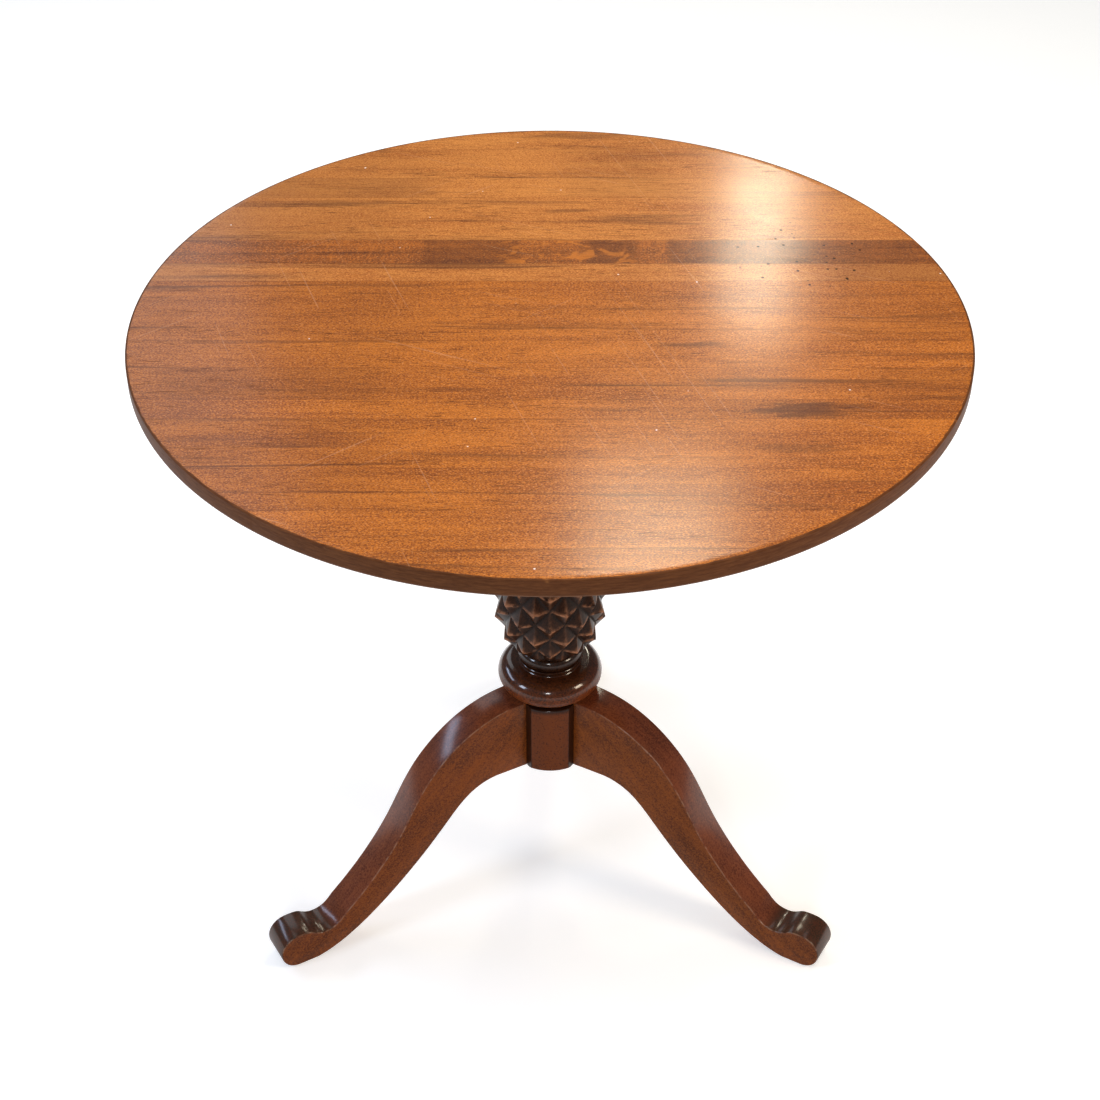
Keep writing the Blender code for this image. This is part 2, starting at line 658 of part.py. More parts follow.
def build_column():
    """The column, with flats and housings for the legs and a kerf for the wedge."""
    column = make_object("column", column_solid(), make_material("column", COLUMN_WOOD, 0.20))
    for heading in LEG_HEADINGS.values():
        flat = box((FLAT_DISTANCE, -0.035, BASE_BOTTOM - 0.01), (0.07, 0.035, BASE_TOP + 0.001))
        combine(column, make_object("flat_tool", flat, heading=heading))
        housing = tongue_solid(GAP, BASE_BOTTOM - 0.01, TONGUE_TOP + GAP)
        combine(column, make_object("housing_tool", housing, heading=heading))
        place = plate_screw_place(heading, PLATE_SCREW_RADII[0])
        bore_for_screw(column, place, *PLATE_SCREW)
    combine(column, make_object("kerf_tool", wedge_solid(GAP, KERF_HALF_WIDTH, CUTTER_OVERRUN)))
    smooth(column, 24.0)
    wedge_finish = make_material("tenon_wedge", WEDGE_WOOD, 0.5)
    wedge = make_object("tenon_wedge", wedge_solid(0.0, WEDGE_HALF_WIDTH), wedge_finish)
    return [column, wedge]


# ---------------------------------------------------------------- legs and the plate under them
def leg_outline():
    """The leg's side view as (distance from the axis, height): a smooth S with a scooped toe."""
    root = FLAT_DISTANCE + GAP
    upper = [(root, 0.2552)]
    for curve, steps in (
        (((root, 0.2552), (0.085, 0.2560), (0.120, 0.2380), (0.150, 0.2060)), 8),
        (((0.150, 0.2060), (0.172, 0.1825), (0.182, 0.1560), (0.197, 0.1320)), 5),
        (((0.197, 0.1320), (0.214, 0.1050), (0.238, 0.0760), (0.266, 0.0510)), 6),
        (((0.266, 0.0510), (0.279, 0.0395), (0.290, 0.0330), (0.300, 0.0345)), 5),
        (((0.300, 0.0345), (0.308, 0.0357), (0.312, 0.0440), (0.324, 0.0440)), 5),
        (((0.324, 0.0440), (0.338, 0.0440), (0.3455, 0.033), (0.3455, 0.0225)), 5),
        (((0.3455, 0.0225), (0.3455, 0.009), (0.337, 0.0), (0.325, 0.0)), 5),
    ):
        upper += bezier(curve, steps)
    lower = [(0.304, 0.0)]
    for curve, steps in (
        (((0.304, 0.0), (0.272, 0.005), (0.236, 0.030), (0.198, 0.0645)), 8),
        (((0.198, 0.0645), (0.172, 0.088), (0.156, 0.106), (0.138, 0.127)), 5),
        (((0.138, 0.127), (0.124, 0.143), (0.108, 0.1635), (0.078, BASE_BOTTOM)), 6),
    ):
        lower += bezier(curve, steps)
    return upper + lower + [(root, BASE_BOTTOM)]


def leg_mesh():
    """One leg along +X with eased arrises, its dovetail tongue and its screw hole."""
    half = LEG_THICKNESS / 2
    points = [(r, -half, z) for r, z in leg_outline()]
    builder = extrude_outline(points, (0, LEG_THICKNESS, 0))
    root = FLAT_DISTANCE + GAP
    rims = [
        edge for edge in builder.edges
        if abs(edge.verts[0].co.y - edge.verts[1].co.y) < 1e-7
        and max(edge.verts[0].co.x, edge.verts[1].co.x) > root + 1e-5
    ]
    bmesh.ops.bevel(builder, geom=rims, offset=LEG_EASE, segments=1, affect="EDGES", clamp_overlap=True)
    leg = make_object("leg", builder, make_material("leg", LEG_WOOD, 0.26))
    tongue = tongue_solid(0.0, BASE_BOTTOM, TONGUE_TOP)
    combine(leg, make_object("tongue_tool", tongue), "UNION")
    place = (PLATE_SCREW_RADII[1], 0, BASE_BOTTOM - GAP - PLATE_THICKNESS)
    bore_for_screw(leg, place, *PLATE_SCREW)
    smooth(leg, 30.0)
    mesh = leg.data
    bpy.data.objects.remove(leg, do_unlink=True)
    return mesh


def build_legs():
    """Three equal legs, 120 degrees apart."""
    mesh = leg_mesh()
    return [link_mesh(name, mesh, heading=heading) for name, heading in LEG_HEADINGS.items()]


def plate_screw_place(heading, radius):
    """The centre of a plate screw's head, on the plate's lower face."""
    angle = math.radians(heading)
    height = BASE_BOTTOM - GAP - PLATE_THICKNESS
    return (radius * math.cos(angle), radius * math.sin(angle), height)


def plate_outline():
    """Three arms with round ends, meeting at the column's axis."""
    points = []
    for heading in sorted(LEG_HEADINGS.values()):
        crotch = Matrix.Rotation(math.radians(heading - 60.0), 2)
        points.append(crotch @ Vector((PLATE_ARM_HALF / math.sin(math.radians(60.0)), 0)))
        turn = Matrix.Rotation(math.radians(heading), 2)
        for along, across in arc((PLATE_ARM_LENGTH, 0), (PLATE_ARM_HALF, PLATE_ARM_HALF), -90, 90, 8):
            points.append(turn @ Vector((along, across)))
    return points


def build_plate():
    """The iron plate that ties the legs to the column from below, and its six screws."""
    bottom = BASE_BOTTOM - GAP - PLATE_THICKNESS
    points = [(point.x, point.y, bottom) for point in plate_outline()]
    plate = make_object(
        "tripod_plate", extrude_outline(points, (0, 0, PLATE_THICKNESS)),
        make_material("tripod_plate", IRON, 0.55, 1.0),
    )
    mesh = screw_mesh("plate_screw", *PLATE_SCREW, make_material("plate_screw", STEEL, 0.40, 1.0))
    pieces = [plate]
    number = 0
    for heading in LEG_HEADINGS.values():
        for radius in PLATE_SCREW_RADII:
            number += 1
            place = plate_screw_place(heading, radius)
            bore_for_screw(plate, place, *PLATE_SCREW)
            pieces.append(link_mesh(f"plate_screw_{number}", mesh, location=place, heading=heading))
    return pieces


# ---------------------------------------------------------------- assembly
def hang(pieces, name, place, parent=None):
    """Parent pieces to an empty that sits on their joint's axis."""
    empty = bpy.data.objects.new(name, None)
    bpy.context.scene.collection.objects.link(empty)
    empty.location = place - (parent.location if parent else Vector())
    empty.parent = parent
    for piece in pieces:
        piece.parent = empty
        piece.matrix_parent_inverse = Matrix.Translation(-place)
    return empty


def main():
    """Build the table in its closed pose, with the catch drawn back."""
    clear_scene()
    build_column()
    build_legs()
    build_plate()
    build_block()
    build_pins()
    build_keeper()
    boards = build_boards()
    tabletop = build_bearers(boards)
    tabletop += build_catch(boards)
    tabletop += [board for _, _, board in boards]
    tilt = hang(tabletop, "top_tilt_axis", PIVOT)
    hang(build_bolt(), "catch_slide_axis", Vector((0, CATCH_FRONT + GAP, BOLT_Z)), tilt)


main()
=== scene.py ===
"""Tilt top table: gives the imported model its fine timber, turning, carving, brass and light.

Every length is in metres and every place is in the model's own frame: the origin on the floor under
the column, +Z up, X along the top's grain and -Y between the two front legs.
"""
import logging
import math
from dataclasses import dataclass, field
from enum import Enum
from typing import Any, Callable, Iterable, Sequence, Union

import bmesh
import bpy
from mathutils import Matrix, Vector


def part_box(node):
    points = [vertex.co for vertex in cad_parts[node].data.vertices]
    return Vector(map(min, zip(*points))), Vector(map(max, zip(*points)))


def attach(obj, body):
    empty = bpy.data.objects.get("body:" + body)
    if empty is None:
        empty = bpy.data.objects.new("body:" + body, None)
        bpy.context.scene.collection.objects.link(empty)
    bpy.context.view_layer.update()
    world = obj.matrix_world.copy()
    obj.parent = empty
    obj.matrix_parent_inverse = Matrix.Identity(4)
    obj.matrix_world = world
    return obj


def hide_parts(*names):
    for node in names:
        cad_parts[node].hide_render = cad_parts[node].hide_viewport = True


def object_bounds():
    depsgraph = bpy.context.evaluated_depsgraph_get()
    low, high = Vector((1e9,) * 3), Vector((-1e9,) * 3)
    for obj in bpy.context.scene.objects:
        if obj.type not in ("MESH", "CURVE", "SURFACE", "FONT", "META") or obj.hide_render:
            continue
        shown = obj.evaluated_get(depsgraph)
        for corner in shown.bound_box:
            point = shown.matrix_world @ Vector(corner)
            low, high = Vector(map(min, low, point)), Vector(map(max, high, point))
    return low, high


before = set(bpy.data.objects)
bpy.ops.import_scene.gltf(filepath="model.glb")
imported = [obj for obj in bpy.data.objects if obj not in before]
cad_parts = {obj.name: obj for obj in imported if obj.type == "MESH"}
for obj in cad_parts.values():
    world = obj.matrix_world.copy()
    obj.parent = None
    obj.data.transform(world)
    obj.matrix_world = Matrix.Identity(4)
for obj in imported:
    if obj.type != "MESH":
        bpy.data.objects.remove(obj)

LOG = logging.getLogger("tilt_top_table")
CAD_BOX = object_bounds()

Colour = tuple[float, float, float]
Point = tuple[float, float]
Triple = tuple[float, float, float]

STRAIGHT: Triple = (0.0, 0.0, 0.0)
CENTRED: Triple = (0.0, 0.0, 0.0)
LEG_HEADINGS = {"leg_front_left": 210.0, "leg_front_right": -30.0, "leg_rear": 90.0}


class Body(Enum):
    """The rigid bodies that pieces ride on."""

    PEDESTAL = "pedestal"
    TABLETOP = "tabletop"
    CATCH_BOLT = "catch_bolt"


class Axis(Enum):
    """The direction of a turned piece, of a timber's grain or of a change of tint."""

    X = 0
    Y = 1
    Z = 2


# ------------------------------------------------------------------ shader expressions
class Number:
    """A shader socket that holds one number, with arithmetic that adds Math nodes."""

    def __init__(self, paint: "Paint", socket: bpy.types.NodeSocket) -> None:
        """Keep the socket and the paint whose nodes it belongs to.

        Args:
            paint: The material under construction.
            socket: An output socket with a float value.
        """
        self.paint = paint
        self.socket = socket

    def _math(self, operation: str, first: "Operand", second: "Operand") -> "Number":
        """Add one Math node.

        Args:
            operation: Blender's name of the operation.
            first: The left operand.
            second: The right operand.

        Returns:
            The node's result.
        """
        node = self.paint.node("ShaderNodeMath", {"operation": operation}, {0: first, 1: second})
        return Number(self.paint, node.outputs[0])

    def __add__(self, other: "Operand") -> "Number":
        """Sum."""
        return self._math("ADD", self, other)

    def __radd__(self, other: "Operand") -> "Number":
        """Sum with a plain number on the left."""
        return self._math("ADD", other, self)

    def __sub__(self, other: "Operand") -> "Number":
        """Difference."""
        return self._math("SUBTRACT", self, other)

    def __rsub__(self, other: "Operand") -> "Number":
        """Difference with a plain number on the left."""
        return self._math("SUBTRACT", other, self)

    def __mul__(self, other: "Operand") -> "Number":
        """Product."""
        return self._math("MULTIPLY", self, other)

    def __rmul__(self, other: "Operand") -> "Number":
        """Product with a plain number on the left."""
        return self._math("MULTIPLY", other, self)

    def __pow__(self, other: "Operand") -> "Number":
        """Power."""
        return self._math("POWER", self, other)

    def larger(self, other: "Operand") -> "Number":
        """The larger of two values."""
        return self._math("MAXIMUM", self, other)

    def size(self) -> "Number":
        """The value without its sign."""
        return self._math("ABSOLUTE", self, 0.0)

    def step(self, start: float, end: float) -> "Number":
        """A smooth step from 0 to 1, or from 1 to 0 where end is below start.

        Args:
            start: The value at which the step begins.
            end: The value at which the step is complete.

        Returns:
            The stepped value, between 0 and 1.
        """
        rises = start < end
        node = self.paint.node("ShaderNodeMapRange", {"interpolation_type": "SMOOTHSTEP"}, {
            "Value": self, "From Min": min(start, end), "From Max": max(start, end),
            "To Min": 0.0 if rises else 1.0, "To Max": 1.0 if rises else 0.0,
        })
        return Number(self.paint, node.outputs["Result"])


Operand = Union[Number, float]


class Paint:
    """One material and the few node recipes that its finish is written with."""

    def __init__(self, name: str) -> None:
        """Start an empty node tree.

        Args:
            name: The material's name.
        """
        self.material = bpy.data.materials.new(name)
        self.material.use_nodes = True
        self.tree = self.material.node_tree
        self.tree.nodes.clear()
        coordinates = self.node("ShaderNodeTexCoord")
        self.place = coordinates.outputs["Object"]
        self.facing = coordinates.outputs["Normal"]

    def node(self, kind: str, settings: dict[str, Any] | None = None,
             sockets: dict[Any, Any] | None = None) -> bpy.types.Node:
        """Add any node: settings first, then the values or links of its sockets.

        Args:
            kind: The node's type.
            settings: Attributes such as a Math node's operation.
            sockets: Input name or number to a value, a Number or an output socket.

        Returns:
            The node.
        """
        node = self.tree.nodes.new(kind)
        for name, value in (settings or {}).items():
            setattr(node, name, value)
        for name, value in (sockets or {}).items():
            target = node.inputs[name]
            if isinstance(value, Number):
                self.tree.links.new(value.socket, target)
            elif isinstance(value, bpy.types.NodeSocket):
                self.tree.links.new(value, target)
            elif target.type == "RGBA":
                target.default_value = (*value, 1.0)
            else:
                target.default_value = value
        return node

    def _mapped(self, scale: Triple, turn: Triple, shift: Triple) -> bpy.types.NodeSocket:
        """Coordinates that are turned, moved, then stretched.

        Args:
            scale: Factor along each axis.
            turn: Rotation in degrees.
            shift: Offset, which sets one board's pattern apart from the next.

        Returns:
            The vector socket.
        """
        spin = tuple(math.radians(angle) for angle in turn)
        turned = self.node("ShaderNodeVectorRotate", {"rotation_type": "EULER_XYZ"},
                           {"Vector": self.place, "Rotation": spin})
        moved = self.node("ShaderNodeVectorMath", {"operation": "ADD"}, {0: turned.outputs[0], 1: shift})
        sized = self.node("ShaderNodeVectorMath", {"operation": "MULTIPLY"}, {0: moved.outputs[0], 1: scale})
        return sized.outputs[0]

    def noise(self, scale: Triple, detail: float = 2.0, roughness: float = 0.5, distortion: float = 0.0,
              turn: Triple = STRAIGHT, shift: Triple = CENTRED) -> Number:
        """Cloudy noise about 0.5.

        Args:
            scale: Number of clouds in a metre, along each axis.
            detail: Number of finer layers.
            roughness: Strength of the finer layers.
            distortion: Swirl.
            turn: Rotation in degrees.
            shift: Offset.

        Returns:
            The noise value.
        """
        node = self.node("ShaderNodeTexNoise", {}, {
            "Vector": self._mapped(scale, turn, shift), "Scale": 1.0, "Detail": detail,
            "Roughness": roughness, "Distortion": distortion,
        })
        return Number(self, node.outputs[0])

    def cells(self, scale: Triple, shift: Triple = CENTRED) -> tuple[Number, Number]:
        """Scattered points.

        Args:
            scale: Number of points in a metre, along each axis.
            shift: Offset.

        Returns:
            Distance to the nearest point, and a random number for each point.
        """
        where = self._mapped(scale, STRAIGHT, shift)
        node = self.node("ShaderNodeTexVoronoi", {}, {"Vector": where, "Scale": 1.0})
        split = self.node("ShaderNodeSeparateColor", {}, {0: node.outputs["Color"]})
        return Number(self, node.outputs["Distance"]), Number(self, split.outputs[0])

    def parts(self, vector: bpy.types.NodeSocket) -> tuple[Number, Number, Number]:
        """The three components of a vector."""
        split = self.node("ShaderNodeSeparateXYZ", {}, {0: vector})
        return tuple(Number(self, output) for output in split.outputs)

    def stored(self, name: str) -> Number:
        """A number kept on the mesh's points."""
        node = self.node("ShaderNodeAttribute", {"attribute_name": name})
        return Number(self, node.outputs["Fac"])

    def blend(self, share: Operand, first: Any, second: Any) -> bpy.types.NodeSocket:
        """Mix two colours.

        Args:
            share: How much of the second colour shows.
            first: Colour or socket.
            second: Colour or socket.

        Returns:
            The mixed colour.
        """
        node = self.node("ShaderNodeMix", {"data_type": "RGBA", "clamp_factor": True},
                         {0: share, 6: first, 7: second})
        return node.outputs[2]

    def shade(self, colour: Any, roughness: Operand, height: Number | None = None, depth: float = 0.0002,
              metallic: float = 0.0, coat: Operand = 0.0, coat_roughness: float = 0.1,
              specular: float = 0.5, glow: float = 0.0) -> bpy.types.Material:
        """Close the tree with a Principled shader.

        Args:
            colour: Base colour.
            roughness: Surface roughness.
            height: Relief, from 0 to 1.
            depth: The relief's height in metres.
            metallic: 1 for bare metal.
            coat: Weight of the clear polish.
            coat_roughness: Roughness of the polish.
            specular: Strength of the bare surface's own shine.
            glow: Light given off, in the base colour.

        Returns:
            The finished material.
        """
        sockets = {
            "Base Color": colour, "Roughness": roughness, "Metallic": metallic,
            "Coat Weight": coat, "Coat Roughness": coat_roughness, "Specular IOR Level": specular,
        }
        if glow:
            sockets.update({"Emission Color": colour, "Emission Strength": glow})
        if height is not None:
            bump = self.node("ShaderNodeBump", {}, {"Strength": 1.0, "Distance": depth, "Height": height})
            sockets["Normal"] = bump.outputs[0]
        shader = self.node("ShaderNodeBsdfPrincipled", {}, sockets)
        self.node("ShaderNodeOutputMaterial", {}, {"Surface": shader.outputs[0]})
        return self.material


# ------------------------------------------------------------------ finishes
STRAW: Colour = (0.600, 0.228, 0.048)
GOLDEN: Colour = (0.560, 0.172, 0.020)
AMBER: Colour = (0.450, 0.128, 0.016)
RUSSET: Colour = (0.300, 0.076, 0.012)
CHESTNUT: Colour = (0.190, 0.045, 0.009)
UMBER: Colour = (0.115, 0.033, 0.011)
PORE: Colour = (0.075, 0.020, 0.007)
FLECK: Colour = (0.720, 0.300, 0.085)
SCRATCH: Colour = (0.800, 0.520, 0.320)
PAINT_SPECK: Colour = (0.860, 0.780, 0.660)
WORMHOLE: Colour = (0.030, 0.010, 0.004)
RIM_DARK: Colour = (0.080, 0.026, 0.0085)
RIM_LIGHT: Colour = (0.135, 0.048, 0.016)
RIM_CHIP: Colour = (0.400, 0.150, 0.045)
UNDER_LIGHT: Colour = (0.215, 0.098, 0.045)
UNDER_DARK: Colour = (0.135, 0.058, 0.026)
# Near-black for painted shade in grooves, gaps and on the base's flats beside the legs.
SHADE_PAINT_DARK: Colour = (0.006, 0.003, 0.002)


@dataclass(frozen=True)
class Stretch:
    """A stretch along one board that is darker than the rest."""

    start: float
    end: float
    strength: float
    soft: float = 0.004


@dataclass(frozen=True)
class Stain:
    """A dark knot or stain on a board."""

    x: float
    y: float
    reach_x: float
    reach_y: float
    strength: float


@dataclass(frozen=True)
class BoardFinish:
    """What sets one lacquered top board apart from the others."""

    number: int
    light: Colour
    dark: Colour
    warmth: float = 0.5
    curl: float = 0.0
    mottle: float = 0.0
    stretches: tuple[Stretch, ...] = ()
    stains: tuple[Stain, ...] = ()
    # Painted shade and wear that darken the board's left end.
    left_end_shade_and_wear: float = 0.24


class BoardLayers:
    """The layers of one board's finish, from the wood's figure to the lacquer over it."""

    def __init__(self, finish: BoardFinish, low: Vector, high: Vector, radius: float) -> None:
        """Start with the darker of the wood's two colours.

        Args:
            finish: The board's own choices.
            low: The board's lowest corner.
            high: The board's highest corner.
            radius: The top's radius.
        """
        self.finish = finish
        self.low = low
        self.high = high
        self.radius = radius
        self.paint = Paint(f"board_{finish.number:02d}_lacquer")
        self.x, self.y, self.z = self.paint.parts(self.paint.place)
        self.seed = (finish.number * 1.37, finish.number * 0.61, finish.number * 0.29)
        self.colour: Any = finish.dark

    def material(self) -> bpy.types.Material:
        """Put on every layer.

        Returns:
            The material.
        """
        streak, fine = self._figure()
        self._curl()
        self._stretches()
        self._mottle()
        self._stains()
        pores = self._pores()
        marks = self._marks()
        self._joints()
        self._rim_and_underside()
        rough, polish = self._lacquer(pores.larger(marks))
        height = streak * 0.35 + fine * 0.30 - pores * 0.6 - marks * 0.8
        return self.paint.shade(self.colour, rough, height, 0.00006, coat=polish, coat_roughness=0.18,
                                specular=0.05)

    def _noise(self, scale: Triple, *choices: float, turn: Triple = STRAIGHT) -> Number:
        """Noise with this board's own offset."""
        return self.paint.noise(scale, *choices, turn=turn, shift=self.seed)

    def _cover(self, share: Operand, tint: Any) -> None:
        """Lay a tint over the colour so far."""
        self.colour = self.paint.blend(share, self.colour, tint)

    def _figure(self) -> tuple[Number, Number]:
        """Lay the wood's light and dark figure.

        Returns:
            The streaks along the grain and the finest grain.
        """
        tone = self._noise((3.2, 13.0, 9.0), 2.0)
        cloud = self._noise((9.0, 48.0, 30.0), 3.0, 0.6, 0.4)
        streak = self._noise((3.0, 150.0, 60.0), 4.0, 0.66, 0.25)
        fine = self._noise((520.0, 1500.0, 900.0), 1.0, 0.8)
        lines = self._noise((2.4, 62.0, 30.0), 3.0, 0.6, 0.8)
        share = (self.finish.warmth + (tone - 0.5) * 1.1 + (cloud - 0.5) * 1.0 + (streak - 0.5) * 1.0
                 + (fine - 0.5) * 4.6)
        self._cover(share, self.finish.light)
        first, second, third = self.seed
        flecks = self.paint.noise((420.0, 700.0, 500.0), 0.0, shift=(second, third, first))
        self._cover(flecks.step(0.60, 0.78) * 0.45, FLECK)
        self._cover(lines.step(0.53, 0.70) * (0.35 + streak.step(0.42, 0.60) * 0.65) * 0.72, PORE)
        return streak, fine

    def _curl(self) -> None:
        """Add the bars of curly figure that run across the grain of some boards."""
        if self.finish.curl:
            bars = self._noise((210.0, 42.0, 30.0), 2.0, 0.6, 0.2, turn=(0.0, 0.0, 8.0))
            where = self._noise((7.0, 22.0, 10.0), 1.0)
            self._cover(bars.step(0.50, 0.68) * where.step(0.38, 0.60) * self.finish.curl, self.finish.light)

    def _stretches(self) -> None:
        """Darken the left end with painted shade and wear, and any other stretch of the board's length."""
        self._cover(self.x.step(-0.24, -0.38) * self.finish.left_end_shade_and_wear, PORE)
        for stretch in self.finish.stretches:
            begun = self.x.step(stretch.start - stretch.soft, stretch.start + stretch.soft)
            not_over = self.x.step(stretch.end + stretch.soft, stretch.end - stretch.soft)
            self._cover(begun * not_over * stretch.strength, PORE)

    def _mottle(self) -> None:
        """Add warm, cloudy patches and swirls through the middle of a dark board."""
        if self.finish.mottle:
            patches = self._noise((46.0, 62.0, 20.0), 4.0, 0.6, 0.9)
            middle = self.x.step(-0.075, -0.020) * self.x.step(0.130, 0.100)
            self._cover(patches.step(0.50, 0.64) * (0.12 + middle * 0.88) * self.finish.mottle, GOLDEN)

    def _stains(self) -> None:
        """Add knots and stains, drawn out along the grain."""
        for stain in self.finish.stains:
            edge = self.paint.noise((42.0, 210.0, 20.0), 4.0, 0.65)
            along = ((self.x - stain.x) * (1 / stain.reach_x)) ** 2
            across = ((self.y - stain.y) * (1 / stain.reach_y)) ** 2
            inside = (along + across + (edge - 0.5) * 3.4).step(1.35, 0.05)
            self._cover(inside * stain.strength, PORE)

    def _pores(self) -> Number:
        """Add the short dark dashes of open pores.

        Returns:
            The pores' mask.
        """
        dash = self._noise((62.0, 1300.0, 700.0), 1.0, 0.5)
        long_dash = self._noise((13.0, 620.0, 300.0), 1.0, 0.5)
        crowd = self._noise((9.0, 50.0, 20.0), 1.0)
        short = dash.step(0.58, 0.70) * crowd.step(0.30, 0.60) * 0.78
        pores = short.larger(long_dash.step(0.70, 0.76) * crowd.step(0.40, 0.66) * 0.75)
        self._cover(pores, PORE)
        return pores

    def _marks(self) -> Number:
        """Add wear: fine scratches, pale specks and a few small holes.

        Returns:
            A mask of what is cut into the face.
        """
        paint = self.paint
        scratches = None
        for turn, shift in ((24.0, 0.0), (-38.0, 3.1), (71.0, 5.3)):
            thin = paint.noise((5.5, 520.0, 1.0), 0.0, turn=(0.0, 0.0, turn), shift=(shift, shift, 0.0))
            where = paint.noise((6.0, 6.0, 1.0), 0.0, shift=(shift, 1.7, 0.0))
            line = thin.step(0.775, 0.80) * where.step(0.57, 0.66)
            scratches = line if scratches is None else scratches.larger(line)
        self._cover(scratches * 0.13, SCRATCH)
        away, pick = paint.cells((38.0, 38.0, 1.0), (0.4, 0.9, 0.0))
        self._cover(away.step(0.044, 0.024) * pick.step(0.42, 0.46) * 0.9, PAINT_SPECK)
        near, other = paint.cells((105.0, 105.0, 1.0))
        cluster = (((self.x - 0.255) * 12.0) ** 2 + ((self.y - 0.125) * 13.0) ** 2).step(1.0, 0.6)
        holes = near.step(0.19, 0.15) * other.step(0.50, 0.54) * cluster
        self._cover(holes, WORMHOLE)
        return holes.larger(scratches * 0.35)

    def _joints(self) -> None:
        """Draw the thin dark line along each glued edge."""
        broken = self.paint.noise((12.0, 30.0, 1.0), 1.0).step(0.35, 0.60)
        for edge in (self.low.y, self.high.y):
            if abs(abs(edge) - self.radius) > 0.001:
                line = (self.y - edge).size().step(0.0009, 0.0002)
                self._cover(line * broken * 0.30, PORE)

    def _rim_and_underside(self) -> None:
        """Darken the rim, chip its upper edge, and leave the underside plain."""
        paint = self.paint
        ragged = paint.noise((90.0, 90.0, 90.0), 2.0)
        out = (self.x * self.x + self.y * self.y) ** 0.5 + (ragged - 0.5) * 0.0022
        self.rim = out.step(self.radius - 0.0026, self.radius - 0.0016)
        chips = paint.noise((34.0, 34.0, 34.0), 3.0).step(0.66, 0.72)
        near_top = self.z.step(self.high.z - 0.0032, self.high.z - 0.0012)
        shade = paint.noise((60.0, 60.0, 520.0), 4.0, 0.75)
        rim_colour = paint.blend((shade - 0.5) * 3.4 + 0.40, RIM_DARK, RIM_LIGHT)
        self._cover(self.rim, paint.blend(chips * near_top * 0.8, rim_colour, RIM_CHIP))
        self.below = paint.parts(paint.facing)[2].step(-0.35, -0.75)
        grain = paint.noise((5.0, 240.0, 200.0), 4.0, 0.6)
        self._cover(self.below, paint.blend(grain.step(0.35, 0.70), UNDER_LIGHT, UNDER_DARK))

    def _lacquer(self, cut: Number) -> tuple[Number, Number]:
        """Work out the lacquer over the upper face, which is thin on the rim and absent below.

        Args:
            cut: Mask of pores, holes and scratches.

        Returns:
            The roughness, and the weight of the clear polish.
        """
        smudge = self.paint.noise((11.0, 16.0, 9.0), 3.0, turn=(0.0, 0.0, 33.0))
        rough = 0.44 + (smudge - 0.5) * 0.16 + cut * 0.20 + self.below * 0.20
        polish = ((1 - self.rim * 0.95) * (1 - self.below) * (0.46 + (smudge - 0.5) * 0.24)
                  * (1 - cut * 0.85))
        return rough, polish


@dataclass(frozen=True)
class Zone:
    """A part of a turned or carved piece with another tint, beyond a place along one axis."""

    axis: Axis
    start: float
    end: float
    tint: Colour
    share: float = 0.8


@dataclass(frozen=True)
class PolishedTimber:
    """Dark polished wood for the legs and the column, with grain along one local axis."""

    name: str
    dark: Colour
    light: Colour
    worn: Colour
    grain: Triple
    turn: Triple = STRAIGHT
    roughness: float = 0.34
    shine: float = 0.13
    polish: float = 0.55
    relief: float = 0.00005
    flank: Colour | None = None
    flank_dark: Colour | None = None
    zones: tuple[Zone, ...] = ()
    bright_below: float | None = None

    def material(self) -> bpy.types.Material:
        """Paint the timber.

        Returns:
            The material.
        """
        paint = Paint(self.name)
        place = paint.parts(paint.place)
        _, side, up = paint.parts(paint.facing)
        grain = paint.noise(self.grain, 4.0, 0.62, 0.3, turn=self.turn)
        fine = paint.noise(tuple(5 * part for part in self.grain), 2.0, turn=self.turn)
        speck = paint.noise((500.0, 500.0, 500.0), 1.0, 0.8)
        cloud = paint.noise((14.0, 14.0, 14.0), 2.0)
        share = 0.5 + (grain - 0.5) * 1.2 + (cloud - 0.5) * 1.1 + (fine - 0.5) * 0.5 + (speck - 0.5) * 2.4
        colour = paint.blend(share, self.dark, self.light)
        for zone in self.zones:
            inside = place[zone.axis.value].step(zone.start, zone.end)
            figure = zone.share + (grain - 0.5) * 0.9 + (speck - 0.5) * 2.0
            colour = paint.blend(inside * figure, colour, zone.tint)
        rough = self.roughness + (cloud - 0.5) * 0.10 + (fine - 0.5) * 0.05
        polish = 0.03 + up.step(-0.02, 0.50) * self.polish
        if self.bright_below:
            low_down = place[Axis.Z.value].step(self.bright_below + 0.002, self.bright_below)
            polish = polish * (0.16 + low_down * 0.84)
        if self.flank and self.flank_dark:
            flat = side.size().step(0.80, 0.97)
            figure = 0.55 + (grain - 0.5) * 1.5 + (cloud - 0.5) * 1.0 + (speck - 0.5) * 2.6
            board = paint.blend(figure, self.flank_dark, self.flank)
            pores = paint.noise((70.0, 900.0, 900.0), 1.0, turn=self.turn).step(0.60, 0.72)
            board = paint.blend(pores * 0.35, board, self.dark)
            colour = paint.blend(flat, colour, board)
            rough = rough + flat * 0.12
        broken = paint.noise((120.0, 120.0, 120.0), 3.0, 0.6)
        worn = paint.stored("wear") * broken.step(0.36, 0.60)
        colour = paint.blend(worn, colour, self.worn)
        # Painted shade, stored on the points: near-black in grooves and gaps.
        colour = paint.blend(paint.stored("painted_groove_shade") * 0.85, colour, SHADE_PAINT_DARK)
        height = grain * 0.4 + fine * 0.3 + broken * 0.3 - worn * 0.3
        return paint.shade(colour, rough + worn * 0.15, height, self.relief, coat=polish,
                           coat_roughness=self.shine, specular=0.08)


